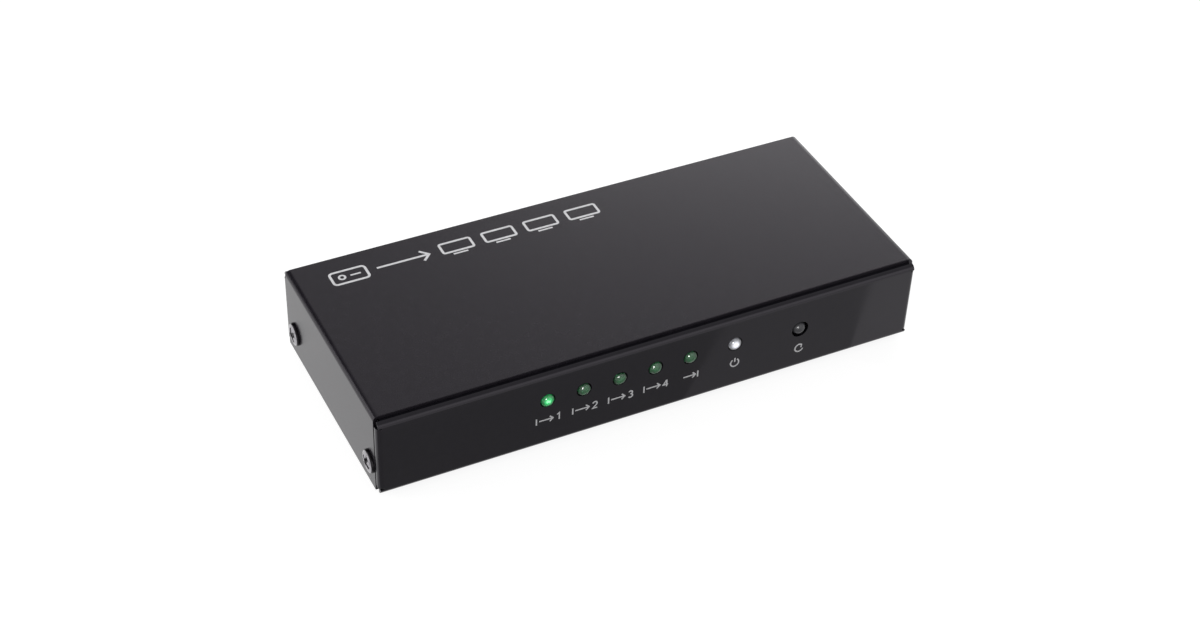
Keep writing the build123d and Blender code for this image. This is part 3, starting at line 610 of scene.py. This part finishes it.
def domed_profile(length, radius):
    """Rows (along, radius) from the back's middle, round a small chamfer, to the dome's tip.

    The dome is the arc of the ball that passes the rim and rises by the lamp's crown: its radius
    is (radius squared + crown squared) / (2 * crown).
    """
    crown, edge = lamp_crown, 0.1 * MM
    ball = (radius ** 2 + crown ** 2) / (2.0 * crown)
    opening = math.degrees(math.asin(radius / ball))
    dome = arc((length - ball, 0.0), ball, opening, 0.0, 20)
    back = [(0.0, 0.0), (0.0, radius * 0.5), (0.0, radius - edge), (edge, radius)]
    barrel = [(along, radius) for along in np.linspace(edge, length - crown, 6)[1:-1]]
    return np.array(back + barrel + dome.tolist())


def mark_reach(piece):
    """Stores on each point its distance from the piece's Y axis over the largest such distance."""
    flat = point_places(piece)[:, (0, 2)]
    distance = np.linalg.norm(flat - (flat.min(0) + flat.max(0)) / 2.0, axis=1)
    store(piece, "reach", distance / distance.max())


# %% Resins of the lamps


def lamp_skin(name, tint):
    """Clear resin: a glass whose tint deepens a little with the mottle, and whose skin is polished."""
    material, tree, shader = start_material(name)
    surface = place_group(tree, grain_group, {"Swell Scale": 1500.0, "Grain Scale": 9000.0,
                                              "Swell": 0.7, "Grain": 0.3})
    deeper = tuple(0.9 * part for part in tint)
    colour = mix_colour(tree, surface.outputs["Mottle"], tint, deeper)
    coat(tree, shader, surface, colour, (0.04, 0.08), surface.outputs["Height"], 0.000002)
    fill(shader, {"Transmission Weight": 1.0, "IOR": 1.55})
    return material


def lamp_milk(name, middle, rim, glow=None, heart=None, strength=0.0):
    """Milky resin: the colour goes from the middle's to the rim's with the reach stored on the core,
    and the darker rim is painted shade at the dome's edge. A lit core glows in flecks, with the
    heart's colour near its axis and the glow's round it."""
    material, tree, shader = start_material(name)
    reach = add(tree, "Attribute", attribute_name="reach").outputs["Fac"]
    place = add(tree, "TexCoord").outputs["Object"]
    cloud = spread(tree, noise(tree, place, 1500.0, 2.0), 0.35, 0.65)
    # Painted shade: the core's colour darkens from the middle's to the rim's as the stored reach
    # grows.
    colour = mix_colour(tree, maths(tree, "ADD", spread(tree, reach, 0.3, 1.0, 0.0, 0.85),
                                    maths(tree, "MULTIPLY", cloud, 0.15)), middle, rim)
    wire(tree, (colour, shader.inputs["Base Color"]),
         (spread(tree, cloud, 0.0, 1.0, 0.45, 0.60), shader.inputs["Roughness"]))
    fill(shader, {"Specular IOR Level": 0.1, "Emission Strength": strength})
    if glow:
        fleck = spread(tree, noise(tree, place, 1700.0, 2.0), 0.38, 0.62)
        warmth = maths(tree, "MULTIPLY", spread(tree, reach, 0.10, 0.50, 1.0, 0.0),
                       spread(tree, fleck, 0.2, 0.8))
        fade = spread(tree, reach, 0.36, 0.76, 1.0, 0.10)
        light = mix_colour(tree, fade, (0.0, 0.0, 0.0), mix_colour(tree, warmth, glow, heart))
        wire(tree, (light, shader.inputs["Emission Color"]))
    return material


green_skin = lamp_skin("lamp_green_skin", (0.66, 0.94, 0.74))
clear_skin = lamp_skin("lamp_clear_skin", (0.95, 0.96, 0.98))
# Each rim colour is darker than its middle: painted shade at the dome's edge.
green_off = lamp_milk("lamp_green_core", (0.022, 0.118, 0.048), (0.008, 0.050, 0.020))
# The lit green core's base colours are paler than the off core's: painted glow on top of its emission.
green_lit = lamp_milk("lamp_green_lit_core", (0.02, 0.40, 0.12), (0.006, 0.12, 0.04),
                      glow=(0.020, 0.42, 0.13), heart=(0.62, 1.0, 0.74), strength=1.1)
white_lit = lamp_milk("lamp_clear_core", (0.50, 0.51, 0.54), (0.10, 0.10, 0.11),
                      glow=(0.55, 0.55, 0.57), heart=(1.0, 1.0, 1.0), strength=1.1)
print("resins mixed")

# %% Turn the six lamps
lamp_finish = {"out_1_lamp": (green_skin, green_lit, "lamp_green_lit"),
               "power_lamp": (clear_skin, white_lit, "lamp_clear")}
core_depth, core_sink = 0.22 * MM, 0.55 * MM
for lamp_node in lamp_names:
    skin, milk, slot_name = lamp_finish.get(lamp_node, (green_skin, green_off, "lamp_green"))
    low, high, centre = middle_of(lamp_node)
    radius, length = (high.x - low.x) / 2.0, high.y - low.y
    back = Vector((centre.x, high.y, centre.z))
    lens = turned(lamp_node.replace("lamp", "lens"), domed_profile(length, radius), back, forward, 96)
    core = turned(lamp_node.replace("lamp", "core"),
                  domed_profile(length - core_depth - core_sink, radius - core_depth),
                  back + core_depth * forward, forward, 64)
    mark_reach(core)
    for piece, material in ((lens, skin), (core, milk)):
        piece.data.materials.append(material)
        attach(piece, "case")
    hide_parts(lamp_node)
print("lamps:", len(lamp_names))

# %% [markdown]
# ## The reset plunger
#
# The plunger is a plain moulded pin with a soft dome, deep in a dark hole. It is the one piece
# that moves, so it rides on its own body. A profile of a collar, a stem and a dome is turned.

# %% Turn the plunger
stem_radius, collar_thickness, plunger_dome = 1.75 * MM, 0.6 * MM, 1.45 * MM


def plunger_profile(length, collar):
    """Rows (along, radius): a broad collar that holds the plunger in, a stem, and a dome.

    The dome is half an ellipse: along = base + height * sin(angle), radius = stem * cos(angle).
    """
    angle = np.radians(np.linspace(0.0, 90.0, 26))
    base = length - plunger_dome
    dome = np.stack((base + plunger_dome * np.sin(angle), stem_radius * np.cos(angle)), axis=1)
    dome[-1, 1] = 0.0
    stem = [(along, stem_radius) for along in np.linspace(collar_thickness, base, 6)[:-1]]
    return np.array([(0.0, 0.0), (0.0, collar * 0.5), (0.0, collar), (collar_thickness, collar)]
                    + stem + dome.tolist())


low, high, centre = middle_of("reset_button")
plunger = turned("reset_plunger_cap", plunger_profile(high.y - low.y, (high.x - low.x) / 2.0),
                 (centre.x, high.y, centre.z), forward, 96)
button_plastic = finish("button_plastic", (0.016, 0.016, 0.018), (0.026, 0.026, 0.029), (0.20, 0.28),
                        worn=(0.11, 0.11, 0.115), wear=0.4, grain=(9000.0, 0.5), bump=0.000003,
                        specular_ior_level=0.4)
plunger.data.materials.append(button_plastic)
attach(plunger, "reset_plunger")
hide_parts("reset_button")

# %% [markdown]
# ## Cover screws
#
# Four pan-head screws hold the cover. The head has a low straight side, a round rim and a slightly
# domed face with a cross recess, and the shank carries a thread. The recess is a height field on a
# polar grid: a cross of two bars whose ends slope up. The thread is a wave that climbs one pitch
# each turn. The plating is black, and the face is painted as bright steel: a painted sheen that
# stands in for the reflection the black face catches at a flat angle.

# %% Shape of one screw
head_radius, head_height = 2.9 * MM, 1.15 * MM
shank_radius, shank_length = 1.45 * MM, 4.0 * MM
thread_pitch, thread_depth = 0.5 * MM, 0.22 * MM
recess_length, recess_width, recess_depth = 1.90 * MM, 0.52 * MM, 0.85 * MM
head_side, head_rim, head_chamfer = 0.42 * MM, 0.30 * MM, 0.08 * MM
thread_inset = 0.3 * MM
# Depths and radii over which the face's painted sheen fades out.
sheen_depths, sheen_radii = (0.02 * MM, 0.10 * MM), (2.55 * MM, 2.85 * MM)
screw_around = 96


def smooth_step(value, low_end, high_end):
    """Zero below low_end, one above high_end, and 3t^2 - 2t^3 between."""
    t = np.clip((value - low_end) / (high_end - low_end), 0.0, 1.0)
    return t * t * (3.0 - 2.0 * t)


def recess_depths(radius, angle):
    """Depth of the cross recess at polar places of a head.

    With aside the distance to the nearer bar's middle line and along the distance along it, the
    depth is full in the middle, falls towards each bar's end, and is cut off over a short slope at
    the bar's side and end.
    """
    shares = np.abs(np.sin(angle)), np.abs(np.cos(angle))
    aside, along = radius * np.minimum(*shares), radius * np.maximum(*shares)
    inside = 1.0 - smooth_step(aside, recess_width * 0.8, recess_width * 1.25)
    within = 1.0 - smooth_step(along, recess_length * 0.88, recess_length)
    slope = 1.0 - 0.72 * np.clip(along / recess_length, 0.0, 1.0)
    return recess_depth * inside * within * slope


def head_rise(radius):
    """Height of a head's face over its underside: a ball's cap that falls from the head's height in
    the middle to the side's height plus the rim's at the rim's inner end.

    With w the rim's inner radius and d the fall, the ball's radius is (w^2 + d^2) / (2 d), and the
    height is the head's height less ball - sqrt(ball^2 - radius^2).
    """
    inner = head_radius - head_rim
    fall = head_height - head_side - head_rim
    ball = (inner ** 2 + fall ** 2) / (2.0 * fall)
    return head_height - ball + np.sqrt(ball ** 2 - radius ** 2)


def screw_surface(centre, outward, turn):
    """Grid of one screw, from the tip of its shank to the middle of its recess.

    centre is where the head's underside meets the axis. Rows go tip, threaded shank, underside,
    side, rounded rim and domed face; columns go round.
    """
    angle, ring = ring_round(outward, screw_around)
    along = np.linspace(-shank_length + thread_inset, -thread_inset, 60)
    wave = np.abs(((along[:, None] / thread_pitch - angle[None, :] / (2.0 * np.pi)) % 1.0) * 2.0 - 1.0)
    tip = np.array([(-shank_length, 0.0), (-shank_length, shank_radius * 0.7)])
    side = np.array([(0.0, shank_radius), (0.0, head_radius - head_chamfer),
                     (head_chamfer, head_radius), (head_side, head_radius)])
    rim = arc((head_side, head_radius - head_rim), head_rim, 80.0, 20.0, 5)
    radii = np.linspace(head_radius - head_rim, 0.0, 52)
    even = np.ones(screw_around)
    tip, side, rim = ((rows[:, :1] * even, rows[:, 1:] * even) for rows in (tip, side, rim))
    shank = (along[:, None] * even, shank_radius - thread_depth * wave)
    face = (head_rise(radii)[:, None] - recess_depths(radii[:, None], angle[None, :] + turn),
            radii[:, None] * even)
    height, out = (np.concatenate(rows) for rows in zip(tip, shank, side, rim, face))
    return (np.asarray(centre) + height[:, :, None] * np.asarray(outward, float)
            + out[:, :, None] * ring)


low, high, centre = middle_of("cover_screws")
screw_level = centre.z
screw_rows = (low.y + head_radius, high.y - head_radius)
print("screws at y", [round(y * 1000, 2) for y in screw_rows], "z", round(screw_level * 1000, 2))

# %% Place the four cover screws
grids, faces, count = [], [], 0
for side_sign in (-1.0, 1.0):
    for row_number, row_y in enumerate(screw_rows):
        under = (side_sign * (high.x - head_height), row_y, screw_level)
        surface_points = screw_surface(under, (side_sign, 0.0, 0.0), 0.45 + 0.5 * row_number)
        grids.append(surface_points.reshape(-1, 3))
        faces.append(grid_faces(surface_points.shape[0], screw_around) + count)
        count += len(grids[-1])
screw_set = closed_piece("cover_screw_set", np.concatenate(grids), np.concatenate(faces), 35.0)

# %% Plate the screws


def plated_screw():
    """Black plating, with the head's face painted as bright steel: a painted sheen for the reflection
    that the black face catches.

    The stored value named face is one on the face and zero on the sides, in the recess and on the
    shank; a fine noise breaks up its edge.
    """
    material, tree, shader = start_material("screw_steel")
    face = add(tree, "Attribute", attribute_name="face").outputs["Fac"]
    surface = place_group(tree, grain_group, {"Swell Scale": 900.0, "Grain Scale": 6000.0})
    lines = place_group(tree, streak_group, {"Stretch": (900.0, 7000.0, 2500.0)})
    # Painted sheen: the black head's face is coloured as bright steel, standing in for its reflection.
    bare = maths(tree, "MULTIPLY", spread(tree, face, 0.35, 0.75),
                 spread(tree, surface.outputs["Mottle"], 0.0, 0.5, 0.55, 1.0))
    steel = mix_colour(tree, lines.outputs["Streak"], (0.24, 0.23, 0.25), (0.46, 0.45, 0.47))
    colour = mix_colour(tree, bare, (0.028, 0.026, 0.029), steel)
    coat(tree, shader, surface, colour, (0.20, 0.32), lines.outputs["Height"], 0.000004)
    fill(shader, {"Metallic": 1.0})
    return material


def mark_face(piece, head_top):
    """Stores on each point how much of the face's painted sheen it takes: one on a head's face, zero
    in the recess, on the sides and on the shank.

    With r the distance to the nearest screw's axis and h the height over the head's underside, a
    point belongs to the face when r is within the rim and h is hardly below head_rise(r).
    """
    x, y, z = point_places(piece).T
    r = np.min([np.hypot(y - row_y, z - screw_level) for row_y in screw_rows], axis=0)
    height = np.abs(x) - (head_top - head_height)
    sunk = head_rise(np.minimum(r, head_radius)) - height
    on_top = 1.0 - smooth_step(sunk, *sheen_depths)
    store(piece, "face", on_top * (1.0 - smooth_step(r, *sheen_radii)))


mark_face(screw_set, high.x)
screw_steel = plated_screw()
screw_set.data.materials.append(screw_steel)
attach(screw_set, "case")
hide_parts("cover_screws")
dress(screw_steel, "board_screws")
soften(0.08 * MM, "board_screws")
print("screws plated")

# %% [markdown]
# ## Printed marks
#
# White marks stand under the lamps and across the back left of the lid. They are screen-printed
# ink, a few hundredths of a millimetre thick. The marks here are generic: plain numbers beside an
# arrow that leaves, an arrow that enters, the usual power ring, a ring with an arrowhead for the
# reset, and on the lid a player, an arrow and four screens. A stroke is a thin section carried along
# a flat path, so the marks of a face share their line widths and look drawn by one hand.

# %% The print's place and its strokes
ink_height = 0.03 * MM
ink_sink = 0.2 * ink_height
front_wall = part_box("base_chassis")[0].y
lid_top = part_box("top_cover")[1].z
print("front wall at", round(front_wall * 1000, 3), "lid at", round(lid_top * 1000, 3), "mm")


def stroke(path, width, looped=False):
    """Points and faces of a flat slab of ink along a path in its own plane.

    Across each point the slab has four corners: half a width to each side, at the surface and one
    ink height above it. The side direction is square to the mean of the two unit directions that
    meet there, and half the width is divided by the cosine of half the turn, so that a bend keeps
    the stroke's width.
    """
    path = np.asarray(path, float)
    step = np.diff(np.concatenate((path, path[:1])) if looped else path, axis=0)
    step /= np.linalg.norm(step, axis=1)[:, None]
    coming = np.roll(step, 1, axis=0) if looped else np.concatenate((step[:1], step))
    going = step if looped else np.concatenate((step, step[-1:]))
    half_turn = np.sqrt(np.clip((1.0 + (coming * going).sum(1)) / 2.0, 0.25, 1.0))
    tangent = coming + going
    tangent /= np.linalg.norm(tangent, axis=1)[:, None]
    across = np.stack((-tangent[:, 1], tangent[:, 0]), axis=1) * (width / 2.0 / half_turn)[:, None]
    section = np.zeros((len(path), 4, 3))
    section[:, (0, 3), :2] = (path + across)[:, None]
    section[:, (1, 2), :2] = (path - across)[:, None]
    section[:, 2:, 2] = ink_height
    count = 4 * len(path)
    quads = grid_faces(len(path) + looped, 4) % count
    if not looped:
        quads = np.concatenate((quads, np.array([[3, 2, 1, 0], count - 4 + np.arange(4)])))
    return section.reshape(-1, 3), quads


def gather(strokes):
    """Several strokes' points and faces as one set. Each stroke is printed a hair thicker than the
    one before it, so that where two cross, one lies over the other."""
    points, quads, shift = [], [], 0
    for number, (stroke_points, stroke_faces) in enumerate(strokes):
        points.append(stroke_points * (1.0, 1.0, 1.0 + 0.05 * number))
        quads.append(stroke_faces + shift)
        shift += len(stroke_points)
    return np.concatenate(points), np.concatenate(quads)


# %% Marks of the front
mark_width, ring_radius = 0.36 * MM, 1.1 * MM
arrow_head, bar_half = 0.8 * MM, 0.95 * MM


def arrow_strokes(start, end, head, width):
    """A level line from start to end, and the two slopes of its head, which reaches back by head."""
    return [stroke([(start, 0.0), (end, 0.0)], width),
            stroke([(end - head, head), (end, 0.0), (end - head, -head)], width)]


def bar_stroke(place):
    """A short upright bar."""
    return stroke([(place, -bar_half), (place, bar_half)], mark_width)


def mark_arrow_out():
    """A short bar, and an arrow that leaves it to the right and ends just short of zero."""
    bar = -4.3 * MM
    return [bar_stroke(bar)] + arrow_strokes(bar + 0.65 * MM, -0.1 * MM, arrow_head, mark_width)


def mark_arrow_in():
    """An arrow to the right that meets a bar."""
    bar = 1.9 * MM
    return arrow_strokes(-bar, bar - 0.6 * MM, arrow_head, mark_width) + [bar_stroke(bar)]


def digit_strokes(digit):
    """The digits 1 to 4, two millimetres high, drawn with the same pen round the origin."""
    paths = {1: [[(-0.45, 0.60), (0.10, 1.0), (0.10, -1.0)]],
             2: [[*arc((0.0, 0.45), 0.55, 165.0, -35.0, 18), (-0.55, -0.92), (0.62, -0.92)]],
             3: [arc((0.0, 0.47), 0.47, 150.0, -90.0, 18), arc((0.0, -0.47), 0.53, 90.0, -150.0, 18)],
             4: [[(0.28, -1.0), (0.28, 1.0)], [(0.22, 0.95), (-0.66, -0.38), (0.68, -0.38)]]}
    return [stroke(np.array(path) * MM, mark_width) for path in paths[digit]]


def mark_power():
    """A ring open at its top, with a bar in the gap."""
    return [stroke(arc((0.0, -0.15 * MM), ring_radius, 122.0, 418.0), mark_width),
            stroke([(0.0, 0.1 * MM), (0.0, 1.3 * MM)], mark_width)]


def mark_reset():
    """Most of a ring, with an arrowhead at its end."""
    ring = arc((0.0, 0.0), ring_radius, 55.0, 340.0)
    tip = ring[0]
    barbs = [tip + (-0.85 * MM, 0.30 * MM), tip, tip + (-0.05 * MM, -0.90 * MM)]
    return [stroke(ring, mark_width), stroke(barbs, mark_width)]


def on_front(points, x, z):
    """Points of a flat mark stood on the front wall: x stays, its height becomes z, and the ink
    stands towards -Y. A hair's sink keeps the ink's back inside the wall's paint."""
    across, up, out = np.asarray(points).T
    return np.stack((across + x, front_wall - out + ink_sink, up + z), axis=1)


ink = finish("print_ink", (0.70, 0.70, 0.72), (0.84, 0.84, 0.86), (0.45, 0.62),
             swell=(1200.0, 0.4), grain=(9000.0, 0.6), bump=0.000002)


def print_piece(name, points, faces):
    """A piece of ink with crisp edges that rides on the case."""
    piece = closed_piece(name, points, faces, 0.0)
    piece.data.materials.append(ink)
    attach(piece, "case")


def print_below(lamp_node, name, strokes, shift, level):
    """Prints a mark on the front wall at a level, aside from a lamp's or the plunger's middle."""
    points, quads = gather(strokes)
    print_piece(name, on_front(points, middle_of(lamp_node)[2].x + shift, level), quads)


# %% Print the front
label_level, reset_level = 9.3 * MM, 7.6 * MM
arrow_shift, digit_shift, mark_shift = 1.5 * MM, 2.9 * MM, 0.3 * MM
for number, lamp_node in enumerate(lamp_names[:4], 1):
    print_below(lamp_node, f"mark_out_{number}", mark_arrow_out(), arrow_shift, label_level)
    print_below(lamp_node, f"number_out_{number}", digit_strokes(number), digit_shift, label_level)
print_below("in_lamp", "mark_in", mark_arrow_in(), mark_shift, label_level)
print_below("power_lamp", "mark_power", mark_power(), mark_shift, label_level)
print_below("reset_button", "mark_reset", mark_reset(), mark_shift, reset_level)
print("front marks printed")

# %% Print the lid
lid_left, lid_low, lid_high = -61.4 * MM, 17.9 * MM, 23.1 * MM
lid_line, fine_line = 0.62 * MM, 0.5 * MM
lid_half = lid_line / 2.0
player_width, player_round, disc_place, disc_radius = 9.5 * MM, 0.9 * MM, 2.9 * MM, 0.75 * MM
slot_start, slot_end = 5.0 * MM, 7.6 * MM
lid_arrow_start, lid_arrow_reach, lid_arrow_head = 2.2 * MM, 15.6 * MM, 1.9 * MM
screen_width, screen_gap, screen_rise, screen_round = 8.6 * MM, 2.6 * MM, 1.2 * MM, 0.5 * MM
first_screen, foot_inset = 3.0 * MM, 2.4 * MM


def rounded_box_path(low_corner, high_corner, radius):
    """A closed loop round a box with round corners: four quarter circles, joined by straight lines."""
    x0, y0, x1, y1 = *low_corner, *high_corner
    corners = (((x1 - radius, y0 + radius), -90.0), ((x1 - radius, y1 - radius), 0.0),
               ((x0 + radius, y1 - radius), 90.0), ((x0 + radius, y0 + radius), 180.0))
    return np.concatenate([arc(middle, radius, first, first + 90.0, 7)
                           for middle, first in corners])


def lid_mark():
    """A player, an arrow and four screens in a row: one source, four pictures."""
    middle = (lid_low + lid_high) / 2.0
    player_end = lid_left + player_width
    frame_low, frame_high = lid_low + lid_half, lid_high - lid_half
    player = rounded_box_path((lid_left + lid_half, frame_low), (player_end - lid_half, frame_high),
                              player_round)
    disc = arc((lid_left + disc_place, middle), disc_radius, 0.0, 345.0, 24)
    slot = [(lid_left + slot_start, middle), (lid_left + slot_end, middle)]
    strokes = [stroke(player, lid_line, looped=True), stroke(disc, fine_line, looped=True),
               stroke(slot, fine_line)]
    arrow_end = player_end + lid_arrow_reach
    arrow = arrow_strokes(player_end + lid_arrow_start, arrow_end, lid_arrow_head, lid_line)
    strokes += [(points + (0.0, middle, 0.0), quads) for points, quads in arrow]
    for number in range(4):
        left = arrow_end + first_screen + number * (screen_width + screen_gap)
        right = left + screen_width
        screen = rounded_box_path((left + lid_half, lid_low + screen_rise),
                                  (right - lid_half, frame_high), screen_round)
        foot_level = lid_low + lid_half * 0.8
        foot = [(left + foot_inset, foot_level), (right - foot_inset, foot_level)]
        strokes += [stroke(screen, lid_line, looped=True), stroke(foot, fine_line)]
    return gather(strokes)


points, quads = lid_mark()
print_piece("mark_lid", points + (0.0, 0.0, lid_top - ink_sink), quads)
print("lid mark printed")

# %% [markdown]
# ## The studio
#
# The picture is a catalogue shot on pure white. The floor is a pale sheet that takes a soft
# shadow and looks white to the camera and to reflections. The world lights the box a little over
# half as brightly as it looks, and its mirrored ceiling is darker than its walls, which makes the
# lid paler towards its back. A large soft panel over the back right brightens that corner, one at
# the left gives the side its sheen, and one at the front right fills in.
#
# Cards are a photographer's way to shape a reflection without more light. A black flag at the back
# left darkens the lid's bend, and two grey cards on the table give the front wall its diagonal
# steps. A small key lamp gives each dome its highlight. It lights the domes alone, because the
# glossy lid would show it from behind as a white patch.

# %% Floor


def flat_board(name, corners, material):
    """A four-cornered board of the studio, which isn't part of the object."""
    mesh = bpy.data.meshes.new(name)
    mesh.from_pydata([tuple(corner) for corner in corners], [], [(0, 1, 2, 3)])
    mesh.materials.append(material)
    board = put(name, mesh)
    return board


def floor_paper(grey, glow):
    """Pale paper that looks white to the camera and in reflections, and lights nothing itself."""
    material, tree, shader = start_material("floor_paper")
    fill(shader, {"Base Color": (grey, grey, grey, 1.0), "Roughness": 0.6,
                  "Specular IOR Level": 0.2, "Emission Color": white})
    ray = add(tree, "LightPath").outputs
    seen = maths(tree, "MAXIMUM", ray["Is Camera Ray"],
                 maths(tree, "MAXIMUM", ray["Is Glossy Ray"], ray["Is Transmission Ray"]))
    wire(tree, (maths(tree, "MULTIPLY", seen, glow), shader.inputs["Emission Strength"]))
    return material


white = (1.0, 1.0, 1.0, 1.0)
floor_half = 1.5
flat_board("floor", [(-floor_half, -floor_half, 0.0), (floor_half, -floor_half, 0.0),
                     (floor_half, floor_half, 0.0), (-floor_half, floor_half, 0.0)],
           floor_paper(0.26, 0.88))

# %% World


def build_world(level, wall, ceiling):
    """A world that is white to the camera, lights with a level, and is mirrored as a wall or, where
    a reflection points steeply up, as a ceiling."""
    world = bpy.data.worlds.new("studio")
    world.use_nodes = True
    tree = world.node_tree
    background = tree.nodes["Background"]
    fill(background, {"Color": white})
    ray = add(tree, "LightPath").outputs
    rise = add(tree, "SeparateXYZ")
    wire(tree, (add(tree, "TexCoord").outputs["Generated"], rise.inputs["Vector"]))
    mirrored = spread(tree, rise.outputs["Z"], 0.55, 0.62, wall, ceiling)
    clear = maths(tree, "MAXIMUM", ray["Is Camera Ray"], ray["Is Transmission Ray"])
    lit = maths(tree, "MULTIPLY", ray["Is Glossy Ray"], maths(tree, "SUBTRACT", mirrored, level))
    strength = maths(tree, "ADD", spread(tree, clear, 0.0, 1.0, level, 1.0),
                     maths(tree, "MULTIPLY", lit, maths(tree, "SUBTRACT", 1.0, clear)))
    wire(tree, (strength, background.inputs["Strength"]))
    return world


bpy.context.scene.world = build_world(level=0.55, wall=1.0, ceiling=0.63)

# %% Soft panels


def panel(name, place, size, watts):
    """A soft area lamp at a place, turned to face the object."""
    data = bpy.data.lights.new(name, "AREA")
    data.shape = "RECTANGLE"
    data.size, data.size_y = size
    data.energy = watts
    lamp = put(name, data)
    lamp.location = place
    lamp.rotation_euler = Vector(place).to_track_quat("Z", "Y").to_euler()
    return lamp


def card(name, corners, glow):
    """A flat card that only reflections see, with an even glow: zero makes a black flag."""
    felt, _, shader = start_material(name)
    fill(shader, {"Base Color": (0.01, 0.01, 0.01, 1.0), "Roughness": 0.9,
                  "Emission Color": white, "Emission Strength": glow})
    board = flat_board(name, corners, felt)
    board.visible_camera = board.visible_diffuse = False
    board.visible_shadow = board.visible_transmission = False


def standing_corners(place, size):
    """Corners of a board at a place that stands across the line from there to the object."""
    turn = Vector(place).to_track_quat("Z", "Y").to_matrix()
    shares = ((-0.5, -0.5), (0.5, -0.5), (0.5, 0.5), (-0.5, 0.5))
    return [turn @ Vector((x * size[0], y * size[1], 0.0)) + Vector(place) for x, y in shares]


panel("panel_back_right", (0.68, 0.93, 0.42), (0.56, 0.58), 2.7)
panel("panel_left", (-0.90, 0.35, 0.35), (0.7, 0.5), 3.6)
panel("panel_front_right", (0.40, -0.85, 0.40), (0.70, 0.76), 1.0)
card("flag_back_left", standing_corners((-0.36, 0.84, 0.44), (0.80, 0.62)), 0.0)

# %% The key lamp of the domes
domes = bpy.data.collections.new("domes")
for dome in [bpy.data.objects[name.replace("lamp", "lens")] for name in lamp_names] + [plunger]:
    domes.objects.link(dome)
key_lamp = panel("panel_domes", (-0.23, -0.84, 0.22), (0.30, 0.30), 6.0)
key_lamp.light_linking.receiver_collection = domes

# %% Grey cards on the table before the box
card_level = 0.4 * MM
card_near, card_far = -31.0 * MM, -55.0 * MM
card_left, first_cut, second_cut = -120.0 * MM, (7.7 * MM, 34.2 * MM), (54.4 * MM, 76.4 * MM)
for name, left_cut, right_cut, glow in (("card_front_left", (card_left, card_left), first_cut, 0.44),
                                        ("card_front_middle", first_cut, second_cut, 0.64)):
    card(name, [(left_cut[0], card_near, card_level), (left_cut[1], card_far, card_level),
                (right_cut[1], card_far, card_level), (right_cut[0], card_near, card_level)], glow)
bpy.context.scene.view_settings.view_transform = "Standard"
print("studio is lit")
